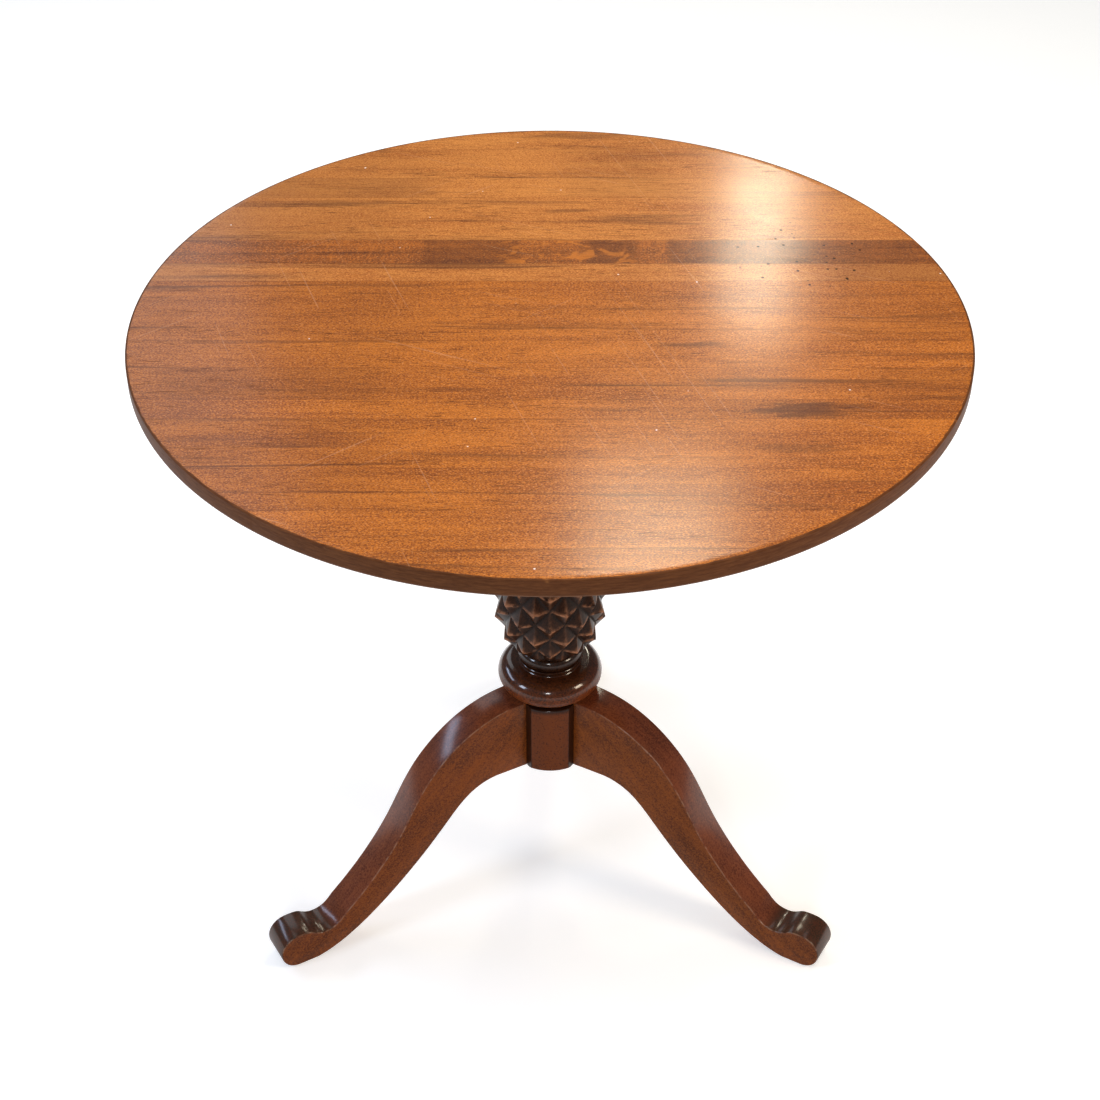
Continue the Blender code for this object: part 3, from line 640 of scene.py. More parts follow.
@dataclass(frozen=True)
class PlainTimber:
    """Thinly stained timber under the top, straight from the plane and the saw."""

    name: str
    light: Colour
    dark: Colour
    along: Axis
    saw_marks: float = 0.3

    def material(self) -> bpy.types.Material:
        """Paint the timber.

        Returns:
            The material.
        """
        paint = Paint(self.name)
        scale = [170.0, 170.0, 170.0]
        scale[self.along.value] = 4.5
        grain = paint.noise(tuple(scale), 5.0, 0.62, 0.3)
        pores = paint.noise(tuple(part * 6 for part in scale), 1.0).step(0.60, 0.72)
        cloud = paint.noise((10.0, 10.0, 10.0), 3.0)
        colour = paint.blend(0.5 + (grain - 0.5) * 1.6 + (cloud - 0.5) * 1.0, self.dark, self.light)
        colour = paint.blend(pores * 0.5, colour, tuple(part * 0.4 for part in self.dark))
        marks = [0.0, 0.0, 0.0]
        marks[self.along.value] = 520.0
        saw = paint.noise(tuple(marks), 1.0, turn=(0.0, 4.0, 3.0))
        height = grain * 0.5 + saw * self.saw_marks - pores * 0.4
        return paint.shade(colour, 0.50 + (cloud - 0.5) * 0.16 + pores * 0.1, height, 0.00012)


@dataclass(frozen=True)
class AgedMetal:
    """Metal with patchy tarnish and brushed lines."""

    name: str
    bright: Colour
    tarnish: Colour
    roughness: float
    amount: float = 0.5
    metallic: float = 1.0

    def material(self) -> bpy.types.Material:
        """Paint the metal.

        Returns:
            The material.
        """
        paint = Paint(self.name)
        cloud = paint.noise((130.0, 130.0, 130.0), 4.0, 0.65)
        patch = paint.noise((45.0, 45.0, 45.0), 3.0, shift=(2.0, 1.0, 3.0))
        brushed = paint.noise((90.0, 2600.0, 2600.0), 1.0)
        colour = paint.blend((cloud + patch - 1.0) * 1.6 + self.amount, self.bright, self.tarnish)
        rough = self.roughness + (cloud - 0.5) * 0.25 + (brushed - 0.5) * 0.12
        height = cloud * 0.6 + brushed * 0.4
        return paint.shade(colour, rough, height, 0.00003, metallic=self.metallic)


@dataclass(frozen=True)
class StudioFloor:
    """Pale matte floor with a barely visible unevenness."""

    tint: Colour = (0.86, 0.86, 0.855)
    glow: float = 0.52

    def material(self) -> bpy.types.Material:
        """Paint the floor.

        Returns:
            The material.
        """
        paint = Paint("studio_floor")
        cloud = paint.noise((0.7, 0.7, 0.7), 2.0)
        colour = paint.blend(cloud, self.tint, tuple(part * 0.985 for part in self.tint))
        return paint.shade(colour, 0.85 + (cloud - 0.5) * 0.05, specular=0.2, glow=self.glow)


# ------------------------------------------------------------------ mesh tools
def bezier(points: Sequence[Point], steps: int) -> list[Point]:
    """Points along one cubic curve, without its first point.

    Args:
        points: The curve's four control points.
        steps: Number of points returned.

    Returns:
        The points.
    """
    result = []
    for i in range(1, steps + 1):
        t = i / steps
        weights = ((1 - t) ** 3, 3 * t * (1 - t) ** 2, 3 * t * t * (1 - t), t ** 3)
        result.append(tuple(sum(w * p[k] for w, p in zip(weights, points)) for k in range(2)))
    return result


def arc(centre: Point, radii: Point, start: float, end: float, steps: int) -> list[Point]:
    """Points along an elliptical arc.

    Args:
        centre: The ellipse's centre.
        radii: Its two half axes.
        start: First angle in degrees.
        end: Last angle in degrees.
        steps: Number of steps.

    Returns:
        The points, both ends included.
    """
    angles = [math.radians(start + (end - start) * i / steps) for i in range(steps + 1)]
    return [(centre[0] + radii[0] * math.cos(a), centre[1] + radii[1] * math.sin(a)) for a in angles]


def add_object(name: str, data: bpy.types.ID) -> bpy.types.Object:
    """Add an object that shows the given mesh, lamp or camera data."""
    added = bpy.data.objects.new(name, data)
    bpy.context.scene.collection.objects.link(added)
    return added


def new_piece(name: str, builder: bmesh.types.BMesh, material: bpy.types.Material,
              smooth_angle: float = 35.0) -> bpy.types.Object:
    """Turn a bmesh into a piece with outward faces and its finish.

    Args:
        name: The piece's name.
        builder: The mesh, which is freed.
        material: Its finish.
        smooth_angle: Edges sharper than this stay sharp, in degrees.

    Returns:
        The piece.
    """
    bmesh.ops.remove_doubles(builder, verts=builder.verts, dist=1e-7)
    bmesh.ops.recalc_face_normals(builder, faces=builder.faces)
    mesh = bpy.data.meshes.new(name)
    builder.to_mesh(mesh)
    builder.free()
    mesh.shade_smooth()
    mesh.set_sharp_from_angle(angle=math.radians(smooth_angle))
    mesh.materials.append(material)
    return add_object(name, mesh)


def combine(target: bpy.types.Object, builder: bmesh.types.BMesh, operation: str = "DIFFERENCE",
            smooth_angle: float = 35.0) -> None:
    """Cut a piece with a tool, or join the tool to it, and bake the result.

    Args:
        target: The piece that changes.
        builder: The tool's mesh.
        operation: DIFFERENCE or UNION.
        smooth_angle: Edges sharper than this stay sharp, in degrees.
    """
    material = target.data.materials[0]
    tool = new_piece("tool", builder, material, smooth_angle=1.0)
    modifier = target.modifiers.new("combine", "BOOLEAN")
    modifier.operation = operation
    modifier.object = tool
    bpy.context.view_layer.update()
    graph = bpy.context.evaluated_depsgraph_get()
    baked = bpy.data.meshes.new_from_object(target.evaluated_get(graph))
    target.modifiers.remove(modifier)
    bpy.data.objects.remove(tool, do_unlink=True)
    baked.materials.clear()
    baked.materials.append(material)
    target.data = baked
    baked.shade_smooth()
    baked.set_sharp_from_angle(angle=math.radians(smooth_angle))


def prism(outline: Iterable[Sequence[float]], direction: Sequence[float]) -> bmesh.types.BMesh:
    """A closed prism from a flat outline.

    Args:
        outline: Corner points in 3-D.
        direction: The sweep.

    Returns:
        The mesh.
    """
    builder = bmesh.new()
    face = builder.faces.new([builder.verts.new(point) for point in outline])
    swept = bmesh.ops.extrude_face_region(builder, geom=[face])
    moved = [part for part in swept["geom"] if isinstance(part, bmesh.types.BMVert)]
    bmesh.ops.translate(builder, verts=moved, vec=direction)
    return builder


def lathe(profile: Sequence[Point], segments: int, axis: Axis = Axis.Z) -> bmesh.types.BMesh:
    """A turned solid with flat caps, or points where the radius is zero.

    Args:
        profile: (radius, height) points from one end to the other.
        segments: Number of sides.
        axis: The direction it is turned about.

    Returns:
        The mesh.
    """
    builder = bmesh.new()
    turn = 2 * math.pi / segments
    rings = []
    for radius, height in profile:
        count = 1 if radius == 0 else segments
        rings.append([
            builder.verts.new((radius * math.cos(i * turn), radius * math.sin(i * turn), height))
            for i in range(count)
        ])
    join_rings(builder, rings)
    if axis is Axis.X:
        bmesh.ops.rotate(builder, verts=builder.verts, matrix=Matrix.Rotation(math.radians(90), 3, "Y"))
    if axis is Axis.Y:
        bmesh.ops.rotate(builder, verts=builder.verts, matrix=Matrix.Rotation(math.radians(90), 3, "X"))
    return builder


def join_rings(builder: bmesh.types.BMesh, rings: Sequence[Sequence[bmesh.types.BMVert]]) -> None:
    """Join rings of equal count in order and close both ends.

    Args:
        builder: The mesh that holds the rings.
        rings: The rings; the first and last may be single points.
    """
    for lower, upper in zip(rings, rings[1:]):
        count = max(len(lower), len(upper))
        for i in range(count):
            j = (i + 1) % count
            corners = [lower[i % len(lower)], lower[j % len(lower)], upper[j % len(upper)],
                       upper[i % len(upper)]]
            builder.faces.new(list(dict.fromkeys(corners)))
    for end in (rings[0], rings[-1]):
        if len(end) > 2:
            builder.faces.new(end)


def store(piece: bpy.types.Object, name: str, measure: Callable[[Vector], float]) -> None:
    """Keep one number on each point of a piece.

    Args:
        piece: The piece.
        name: The attribute's name.
        measure: Gives the number from the point's place.
    """
    values = [measure(vertex.co) for vertex in piece.data.vertices]
    attribute = piece.data.attributes.new(name, "FLOAT", "POINT")
    attribute.data.foreach_set("value", values)


def settle(piece: bpy.types.Object, body: Body, nodes: Sequence[str]) -> None:
    """Put a finished piece on its body in place of its nodes, and report it.

    Args:
        piece: The piece, already in place.
        body: The body it rides on.
        nodes: The nodes that it stands for.
    """
    bpy.context.view_layer.update()
    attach(piece, body.value)
    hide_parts(*nodes)
    LOG.info("%s: %d points, rides on %s", piece.name, len(piece.data.vertices), body.value)


# ------------------------------------------------------------------ the top
@dataclass
class RoundTop:
    """Thirteen glued boards, cut to one circle, with an eased rim."""

    upper_ease: float = 0.0012
    lower_ease: float = 0.0032
    lower_rise: float = 0.00448
    flat_border: float = 0.004
    arc_step: float = 0.9
    fewest_steps: int = 6
    closer: float = 0.00012
    past_rim: float = 0.01
    # The stretches that end near x = -0.15 on the left of most boards add to the painted shade and wear
    # there.
    finishes: tuple[BoardFinish, ...] = field(default_factory=lambda: (
        BoardFinish(1, STRAW, RUSSET, 0.62, stains=(Stain(0.03, 0.385, 0.07, 0.008, 0.45),)),
        BoardFinish(2, STRAW, RUSSET, 0.66, stretches=(Stretch(-0.40, -0.15, 0.14, 0.06),
                                                      Stretch(0.02, 0.12, 0.12, 0.03))),
        BoardFinish(3, STRAW, RUSSET, 0.74, stretches=(Stretch(-0.34, -0.13, 0.30, 0.035),
                                                      Stretch(0.02, 0.14, 0.16, 0.03))),
        BoardFinish(4, STRAW, RUSSET, 0.58, stretches=(Stretch(-0.36, -0.16, 0.16, 0.05),),
                    stains=(Stain(0.02, 0.215, 0.030, 0.004, 0.5),)),
        BoardFinish(5, AMBER, UMBER, 0.36, curl=0.50, left_end_shade_and_wear=0.10, mottle=0.62, stretches=(
            Stretch(-0.127, -0.030, 0.42), Stretch(0.034, 0.086, 0.50, 0.010), Stretch(0.118, 0.40, 0.40),
        )),
        BoardFinish(6, STRAW, RUSSET, 0.50, left_end_shade_and_wear=0.30, stretches=(Stretch(0.27, 0.42, 0.34, 0.03),)),
        BoardFinish(7, GOLDEN, CHESTNUT, 0.60, curl=0.10, stretches=(Stretch(-0.30, -0.12, 0.16, 0.05),
                                                                    Stretch(0.26, 0.42, 0.16, 0.04))),
        BoardFinish(8, GOLDEN, CHESTNUT, 0.62, stretches=(Stretch(-0.32, -0.14, 0.12, 0.05),),
                    stains=(Stain(0.135, -0.046, 0.040, 0.006, 0.6),)),
        BoardFinish(9, GOLDEN, CHESTNUT, 0.55, stretches=(Stretch(-0.36, -0.15, 0.26, 0.04),
                                                         Stretch(0.29, 0.42, 0.2, 0.03))),
        BoardFinish(10, GOLDEN, CHESTNUT, 0.46, stretches=(Stretch(0.15, 0.42, 0.14, 0.03),),
                    stains=(Stain(0.225, -0.155, 0.045, 0.014, 0.70),
                            Stain(0.27, -0.150, 0.018, 0.005, 0.5))),
        BoardFinish(11, GOLDEN, CHESTNUT, 0.55, stretches=(Stretch(-0.34, -0.15, 0.16, 0.04),),
                    stains=(Stain(0.215, -0.215, 0.05, 0.008, 0.4),)),
        BoardFinish(12, GOLDEN, CHESTNUT, 0.48, stretches=(Stretch(-0.30, -0.14, 0.14, 0.04),)),
        BoardFinish(13, GOLDEN, CHESTNUT, 0.46),
    ))

    def build(self) -> None:
        """Build and dress every board."""
        radius = CAD_BOX[1].x
        for finish in self.finishes:
            node = f"top_board_{finish.number:02d}"
            low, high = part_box(node)
            material = BoardLayers(finish, low, high, radius).material()
            piece = new_piece(f"board_{finish.number:02d}", self._board(low, high, radius), material, 40.0)
            settle(piece, Body.TABLETOP, [node])

    def _levels(self, low: float, high: float, radius: float) -> list[Point]:
        """The rim's section.

        Args:
            low: Height of the underside.
            high: Height of the upper face.
            radius: The top's radius.

        Returns:
            (radius, height) from the underside to the upper face.
        """
        lower = arc((radius - self.lower_ease, low + self.lower_rise), (self.lower_ease, self.lower_rise),
                    -90, 0, 7)
        upper = arc((radius - self.upper_ease, high - self.upper_ease), (self.upper_ease, self.upper_ease),
                    0, 90, 4)
        border = radius - self.lower_ease - self.flat_border
        return [(border, low)] + lower + upper + [(border, high)]

    def _board(self, low: Vector, high: Vector, radius: float) -> bmesh.types.BMesh:
        """One board: a strip of the disc between two straight joints.

        Args:
            low: The board's lowest corner.
            high: The board's highest corner.
            radius: The top's radius.

        Returns:
            The mesh.
        """
        front = low.y - (self.closer if low.y > -radius + 0.001 else self.past_rim)
        rear = high.y + (self.closer if high.y < radius - 0.001 else self.past_rim)
        builder = bmesh.new()
        rings = []
        first = math.asin(max(front, -radius) / radius)
        last = math.asin(min(rear, radius) / radius)
        steps = max(self.fewest_steps, int(math.degrees(last - first) / self.arc_step))
        for reach, height in self._levels(low.z, high.z, radius):
            first = math.asin(max(front / reach, -1.0))
            last = math.asin(min(rear / reach, 1.0))
            angles = [first + (last - first) * i / steps for i in range(steps + 1)]
            right = [(reach * math.cos(a), reach * math.sin(a)) for a in angles]
            left = [(-x, y) for x, y in reversed(right)]
            rings.append([builder.verts.new((x, y, height)) for x, y in right + left])
        join_rings(builder, rings)
        return builder


# ------------------------------------------------------------------ column
@dataclass
class CarvedColumn:
    """The turned column: flat-sided base, ring, bead, carved bulb, shaft and wedged tenon."""

    columns: int = 22
    fineness: int = 7
    rows: int = 9
    row_height: float = 0.0202
    carving_rise: float = 0.1505
    carving_depth: float = 0.008
    droop: float = 0.0035
    end_radius: float = 0.034
    swell: float = 0.028
    base_radius: float = 0.049
    base_height: float = 0.089
    flat_distance: float = 0.040
    ring_rise: float = 0.108
    ring_outer: float = 0.0560
    ring_half: float = 0.016
    bead_rise: float = 0.1367
    tenon_radius: float = 0.019
    base_ease: float = 0.0035
    base_top_ease: float = 0.0015
    collar_radius: float = 0.0370
    housing_height: float = 0.0813
    below_foot: float = 0.01
    kerf_slope: float = 0.055
    kerf_reach: float = 0.03
    headings: tuple[float, ...] = tuple(LEG_HEADINGS.values())
    gap: float = 0.0003
    finish: PolishedTimber = PolishedTimber(
        "column_polish", dark=(0.0095, 0.0034, 0.0016), light=(0.034, 0.0115, 0.0048),
        worn=(0.350, 0.150, 0.076), grain=(70.0, 70.0, 9.0), roughness=0.30, polish=0.85, shine=0.11,
        # The first zone's red-brown over the lower ring and the base is partly the wood's own tint and partly
        # painted reflected light on the ring's lower side.
        zones=(Zone(Axis.Z, 0.300, 0.262, (0.180, 0.040, 0.009), 0.62),
               Zone(Axis.Z, 0.2545, 0.2535, (0.125, 0.028, 0.004), 0.70)),
        bright_below=0.3145,
    )

    def __post_init__(self) -> None:
        """Take the column's ends and the block's underside from the model."""
        low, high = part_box("column")
        self.bottom = low.z
        self.top = high.z
        self.block_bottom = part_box("tilt_block")[0].z
        self.segments = self.columns * self.fineness
        self.carving_bottom = self.bottom + self.carving_rise
        self.carving_top = self.carving_bottom + self.rows * self.row_height

    def build(self) -> None:
        """Build the column, cut its housings and kerf, and mark its worn arrises."""
        builder = bmesh.new()
        rings = [self._ring(builder, radius, height, height < self.bottom + self.base_height + 1e-4)
                 for radius, height in self._lower()]
        steps = self.rows * self.fineness
        rings += [self._carved_ring(builder, i / self.fineness) for i in range(steps + 1)]
        rings += [self._ring(builder, radius, height, False) for radius, height in self._upper()]
        join_rings(builder, rings)
        piece = new_piece("turned_column", builder, self.finish.material())
        for heading in self.headings:
            combine(piece, self._housing(heading), smooth_angle=26.0)
        combine(piece, self._kerf(), smooth_angle=26.0)
        store(piece, "wear", self._wear)
        store(piece, "painted_groove_shade", self._painted_groove_shade)
        settle(piece, Body.PEDESTAL, ["column"])

    def _angles(self, based: bool) -> list[float]:
        """The angle of each point round a ring, with the flats' edges met exactly on the base.

        Args:
            based: Whether the ring is part of the flat-sided base.

        Returns:
            Angles in radians, from the front.
        """
        turn = 2 * math.pi / self.segments
        angles = [i * turn - math.pi / 2 for i in range(self.segments)]
        if based:
            half = math.acos(self.flat_distance / self.base_radius)
            for heading in self.headings:
                for corner in (math.radians(heading) - half, math.radians(heading) + half):
                    nearest = round((corner + math.pi / 2) / turn)
                    angles[nearest % self.segments] = corner
        return angles

    def _ring(self, builder: bmesh.types.BMesh, radius: float, height: float,
              based: bool) -> list[bmesh.types.BMVert]:
        """One ring of points, held inside the three flats where it is part of the base.

        Args:
            builder: The mesh.
            radius: The turned radius.
            height: The ring's height.
            based: Whether the ring is part of the flat-sided base.

        Returns:
            The points.
        """
        points = []
        for angle in self._angles(based):
            reach = radius
            if based:
                for heading in self.headings:
                    towards = math.cos(angle - math.radians(heading))
                    if towards > 0.1:
                        reach = min(reach, self.flat_distance / towards)
            points.append(builder.verts.new((reach * math.cos(angle), reach * math.sin(angle), height)))
        return points

    def _bulb(self, row: float) -> float:
        """Radius over the carved points, at a row counted from the bulb's foot."""
        fraction = min(max(row / self.rows, 0.0), 1.0)
        return self.end_radius + self.swell * max(0.0, math.sin(math.pi * fraction ** 0.75)) ** 0.65

    def _from_point(self, column: float, row: float) -> tuple[float, float]:
        """How far a place lies from the nearest carved point, across and up, in lattice steps.

        Args:
            column: Place round the bulb.
            row: Place up the bulb.

        Returns:
            The two distances; their sum is 0 on a point and 1 in a groove.
        """
        best = (1.0, 1.0)
        for j in (math.floor(row), math.floor(row) + 1):
            i = 2 * math.floor((column - (j + 1) % 2) / 2) + (j + 1) % 2
            for candidate in (i, i + 2):
                away = (abs(column - candidate), abs(row - j))
                if sum(away) < sum(best):
                    best = away
        return best

    def _carved_ring(self, builder: bmesh.types.BMesh, row: float) -> list[bmesh.types.BMVert]:
        """One ring across the carving.

        Args:
            builder: The mesh.
            row: Place up the bulb.

        Returns:
            The points.
        """
        fade = min(1.0, row, self.rows - row)
        points = []
        for number, angle in enumerate(self._angles(False)):
            across, up = self._from_point(number / self.fineness, row)
            away = min(1.0, across + up)
            reach = self._bulb(row) - away ** 0.95 * self.carving_depth * fade
            height = self.carving_bottom + row * self.row_height - self.droop * (1 - away) * fade
            points.append(builder.verts.new((reach * math.cos(angle), reach * math.sin(angle), height)))
        return points

    def _lattice(self, place: Vector) -> tuple[float, float] | None:
        """Lattice place of a point on the carving, or None elsewhere."""
        level = (place.z - self.carving_bottom) / self.row_height
        if not 0.0 < level < self.rows - 0.1:
            return None
        angle = math.atan2(place.y, place.x) + math.pi / 2
        column = (angle / (2 * math.pi) * self.columns) % self.columns
        row = level
        for _ in range(4):
            away = min(1.0, sum(self._from_point(column, row)))
            fade = min(1.0, max(row, 0.0), self.rows - row)
            row = level + self.droop / self.row_height * (1 - away) * fade
        return column, row

    def _wear(self, place: Vector) -> float:
        """Wear of the carving's points and ridges."""
        lattice = self._lattice(place)
        if lattice is None:
            return 0.0
        across, up = self._from_point(*lattice)
        level_ridge = max(0.0, 1.0 - up * 7.0)
        upright_ridge = max(0.0, 1.0 - across * 7.0) * 0.25
        tip = max(0.0, 0.45 - across - up)
        return min(1.0, max(level_ridge, upright_ridge) * (0.45 + 0.55 * (1.0 - across - up)) + tip)

    def _painted_groove_shade(self, place: Vector) -> float:
        """Painted shade: near-black in the carving's grooves, in the shadow gap under the ring and on the
        base's flats beside the legs.
        """
        if abs(place.z - (self.bottom + self.base_height + 0.0006)) < 0.0036:
            return 1.0
        for heading in self.headings:
            outwards = Vector((math.cos(math.radians(heading)), math.sin(math.radians(heading)), 0.0))
            if place.z < self.bottom + self.base_height and place.dot(outwards) > self.flat_distance - 0.0003:
                return 0.9
        lattice = self._lattice(place)
        if lattice is None:
            return 0.0
        across, up = self._from_point(*lattice)
        return max(0.0, (across + up - 0.72) / 0.28)

    def _lower(self) -> list[Point]:
        """The turned section from the base to the bulb's foot."""
        base_top = self.bottom + self.base_height
        ring = self.bottom + self.ring_rise
        bead = self.bottom + self.bead_rise
        # The base, with an extra ring near each eased edge that keeps its tall faces flat.
        ease, upper = self.base_ease, self.base_top_ease
        section = arc((self.base_radius - ease, self.bottom + ease), (ease, ease), -90, 0, 5)
        section += [(self.base_radius, self.bottom + 2 * ease), (self.base_radius, base_top - 2 * ease)]
        section += arc((self.base_radius - upper, base_top - upper), (upper, upper), 0, 90, 4)
        # The fat ring, then the thin bead between two fillets.
        neck = self.ring_outer - self.ring_half
        section += [(neck + 0.0004, base_top + 0.0002), (neck, base_top + 0.0008)]
        section += arc((neck, ring), (self.ring_half, self.ring_half), -88, 88, 30)
        section += [(0.0340, ring + self.ring_half), (0.0335, ring + self.ring_half + 0.0006),
                    (0.0335, bead - 0.0086), (0.0330, bead - 0.0081)]
        section += arc((0.0285, bead), (0.0065, 0.0080), -82, 82, 16)
        return section + [(0.0300, self.carving_bottom - 0.0024), (0.0300, self.carving_bottom - 0.0006)]

    def _upper(self) -> list[Point]:
        """The turned section from the bulb's top to the tenon's end."""
        top = self.carving_top
        # The bead over the bulb, the long hollow shaft and the small bead under the collar.
        section = [(0.0300, top + 0.0006), (0.0300, top + 0.002)]
        section += arc((0.0320, top + 0.009), (0.0080, 0.0065), -80, 80, 14)
        section += [(0.0302, top + 0.0160), (0.0300, top + 0.0168), (0.0285, top + 0.0200)]
        section += bezier([(0.0285, top + 0.020), (0.0215, top + 0.055), (0.0215, top + 0.100),
                           (0.0285, self.block_bottom - 0.022)], 14)
        section += arc((0.0290, self.block_bottom - 0.0155), (0.0060, 0.0060), -80, 80, 12)
        # The collar that the block rests on, and the tenon.
        shoulder = self.block_bottom - self.gap
        collar = self.collar_radius
        section += [(0.0302, self.block_bottom - 0.0090), (0.0310, self.block_bottom - 0.0085),
                    (collar - 0.0004, self.block_bottom - 0.0062), (collar, self.block_bottom - 0.0058),
                    (collar, shoulder - 0.0006), (collar - 0.0006, shoulder), (self.tenon_radius, shoulder)]
        return section + [(self.tenon_radius, self.top - 0.0006), (self.tenon_radius - 0.0006, self.top)]

    def _housing(self, heading: float) -> bmesh.types.BMesh:
        """The dovetail housing that one leg's tongue slides up into.

        Args:
            heading: The leg's direction in degrees.

        Returns:
            The tool's mesh.
        """
        outline = dovetail(self.gap)
        foot = self.bottom - self.below_foot
        builder = prism([(x, y, foot) for x, y in outline], (0, 0, self.housing_height))
        turn = Matrix.Rotation(math.radians(heading), 3, "Z")
        bmesh.ops.rotate(builder, verts=builder.verts, matrix=turn)
        return builder

    def _kerf(self) -> bmesh.types.BMesh:
        """The tapered saw cut across the tenon for its wedge."""
        low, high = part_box("tenon_wedge")
        half_high = (high.y - low.y) / 2 + self.gap
        half_low = half_high - (high.z - low.z) * self.kerf_slope
        above = 0.02
        half_above = half_high + above * self.kerf_slope
        side = -self.kerf_reach
        outline = [(side, -half_low, low.z - self.gap), (side, half_low, low.z - self.gap),
                   (side, half_above, high.z + above), (side, -half_above, high.z + above)]
        return prism(outline, (2 * self.kerf_reach, 0, 0))


def dovetail(grow: float) -> list[Point]:
    """The plan of a leg's tongue, pointing along +X, or of its housing.

    Args:
        grow: Clearance added all round.

    Returns:
        The four corners.
    """
    inner, flat = 0.0288, 0.040
    narrow, wide = 0.0065, 0.0095
    slope = (wide - narrow) / (flat - inner)
    past_flat = 0.0015
    outer = flat + past_flat
    inner_half = wide + grow * (1 + slope)
    outer_half = narrow + grow - slope * past_flat
    return [(inner - grow, -inner_half), (outer, -outer_half),
            (outer, outer_half), (inner - grow, inner_half)]


# ------------------------------------------------------------------ legs
@dataclass
class CurvedLeg:
    """One flat sawn leg along its own +X: a smooth S with a scooped, fluted toe."""

    node: str
    heading: float
    ease: float = 0.0014
    rings: int = 3
    root: float = 0.0403
    tongue_height: float = 0.071
    smooth_angle: float = 40.0
    wear_from: float = 0.06
    finish: PolishedTimber = PolishedTimber(
        "leg_polish", dark=(0.085, 0.0205, 0.0085), light=(0.205, 0.052, 0.0180),
        worn=(0.300, 0.150, 0.085), grain=(11.0, 110.0, 110.0), turn=(0.0, -44.0, 0.0), shine=0.17,
        flank=(0.205, 0.050, 0.0060), flank_dark=(0.078, 0.018, 0.0026),
        zones=(Zone(Axis.X, 0.276, 0.290, (0.034, 0.015, 0.0075)),),
    )

    def build(self, mesh: bpy.types.Mesh | None) -> bpy.types.Mesh:
        """Build the leg, or place a shared mesh.

        Args:
            mesh: The mesh of an equal leg, or None for the first one.

        Returns:
            The mesh, for the next leg.
        """
        if mesh is None:
            piece = new_piece(f"carved_{self.node}", self._solid(), self.finish.material(), self.smooth_angle)
            tongue = prism([(x, y, self.bottom) for x, y in dovetail(0.0)], (0, 0, self.tongue_height))
            combine(piece, tongue, "UNION", self.smooth_angle)
            store(piece, "wear", self._wear)
            store(piece, "painted_groove_shade", lambda place: 0.0)
        else:
            piece = add_object(f"carved_{self.node}", mesh)
        piece.rotation_euler = (0.0, 0.0, math.radians(self.heading))
        settle(piece, Body.PEDESTAL, [self.node])
        return piece.data

    @property
    def bottom(self) -> float:
        """Height of the column's foot, which the leg's root is level with."""
        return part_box("column")[0].z

    @property
    def half(self) -> float:
        """Half the leg's thickness."""
        low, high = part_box("leg_rear")
        return (high.x - low.x) / 2

    def _outline(self) -> list[Point]:
        """The side view as (distance from the axis, height), with two shallow flutes over the toe."""
        root = self.root
        points = [(root, 0.2552)]
        for curve, steps in (
            (((root, 0.2552), (0.085, 0.2560), (0.120, 0.2380), (0.150, 0.2060)), 22),
            (((0.150, 0.2060), (0.172, 0.1825), (0.182, 0.1560), (0.197, 0.1320)), 12),
            (((0.197, 0.1320), (0.214, 0.1050), (0.238, 0.0760), (0.266, 0.0510)), 14),
            (((0.266, 0.0510), (0.272, 0.0455), (0.276, 0.0372), (0.287, 0.0352)), 10),
            (((0.287, 0.0352), (0.297, 0.0335), (0.302, 0.0372), (0.308, 0.0415)), 10),
            (((0.308, 0.0415), (0.312, 0.0438), (0.317, 0.0440), (0.323, 0.0438)), 6),
            (((0.323, 0.0438), (0.337, 0.0442), (0.3453, 0.0335), (0.3453, 0.0225)), 12),
            (((0.3453, 0.0225), (0.3453, 0.009), (0.337, 0.0), (0.325, 0.0)), 12),
        ):
            points += bezier(curve, steps)
        points.append((0.304, 0.0))
        for curve, steps in (
            (((0.304, 0.0), (0.272, 0.005), (0.236, 0.030), (0.198, 0.0645)), 18),
            (((0.198, 0.0645), (0.172, 0.088), (0.156, 0.106), (0.138, 0.127)), 10),
            (((0.138, 0.127), (0.124, 0.143), (0.108, 0.1635), (0.078, self.bottom)), 12),
        ):
            points += bezier(curve, steps)
        return points + [(root, self.bottom)]

    def _solid(self) -> bmesh.types.BMesh:
        """The leg's body with rounded arrises."""
        outline = self._outline()
        count = len(outline)
        inward = []
        for i, point in enumerate(outline):
            before, after = outline[i - 1], outline[(i + 1) % count]
            along = Vector((after[0] - before[0], after[1] - before[1])).normalized()
            inward.append(Vector((along.y, -along.x)) if 0 < i < count - 1 else Vector((0.0, 0.0)))
        builder = bmesh.new()
        rings = []
        for side in (-1, 1):
            order = range(self.rings + 1) if side < 0 else range(self.rings, -1, -1)
            for step in order:
                angle = math.radians(90.0 * step / self.rings)
                inset = self.ease * (1 - math.sin(angle))
                y = side * (self.half - self.ease * (1 - math.cos(angle)))
                rings.append([
                    builder.verts.new((p[0] + n.x * inset, y, p[1] + n.y * inset))
                    for p, n in zip(outline, inward)
                ])
        join_rings(builder, rings)
        return builder

    def _wear(self, place: Vector) -> float:
        """Wear along the two arrises, the same everywhere past the leg's root."""
        from_side = self.half - abs(place.y)
        on_arris = 0.00005 < from_side < self.ease * 0.9
        return 0.6 if on_arris and place.x > self.wear_from else 0.0


# ------------------------------------------------------------------ fittings
BRASS = AgedMetal("aged_brass", (0.66, 0.46, 0.18), (0.20, 0.12, 0.055), 0.34, 0.42)
STEEL = AgedMetal("dull_steel", (0.46, 0.45, 0.43), (0.17, 0.14, 0.12), 0.40, 0.45)
IRON = AgedMetal("black_iron", (0.060, 0.056, 0.054), (0.105, 0.052, 0.030), 0.58, 0.35, 0.85)


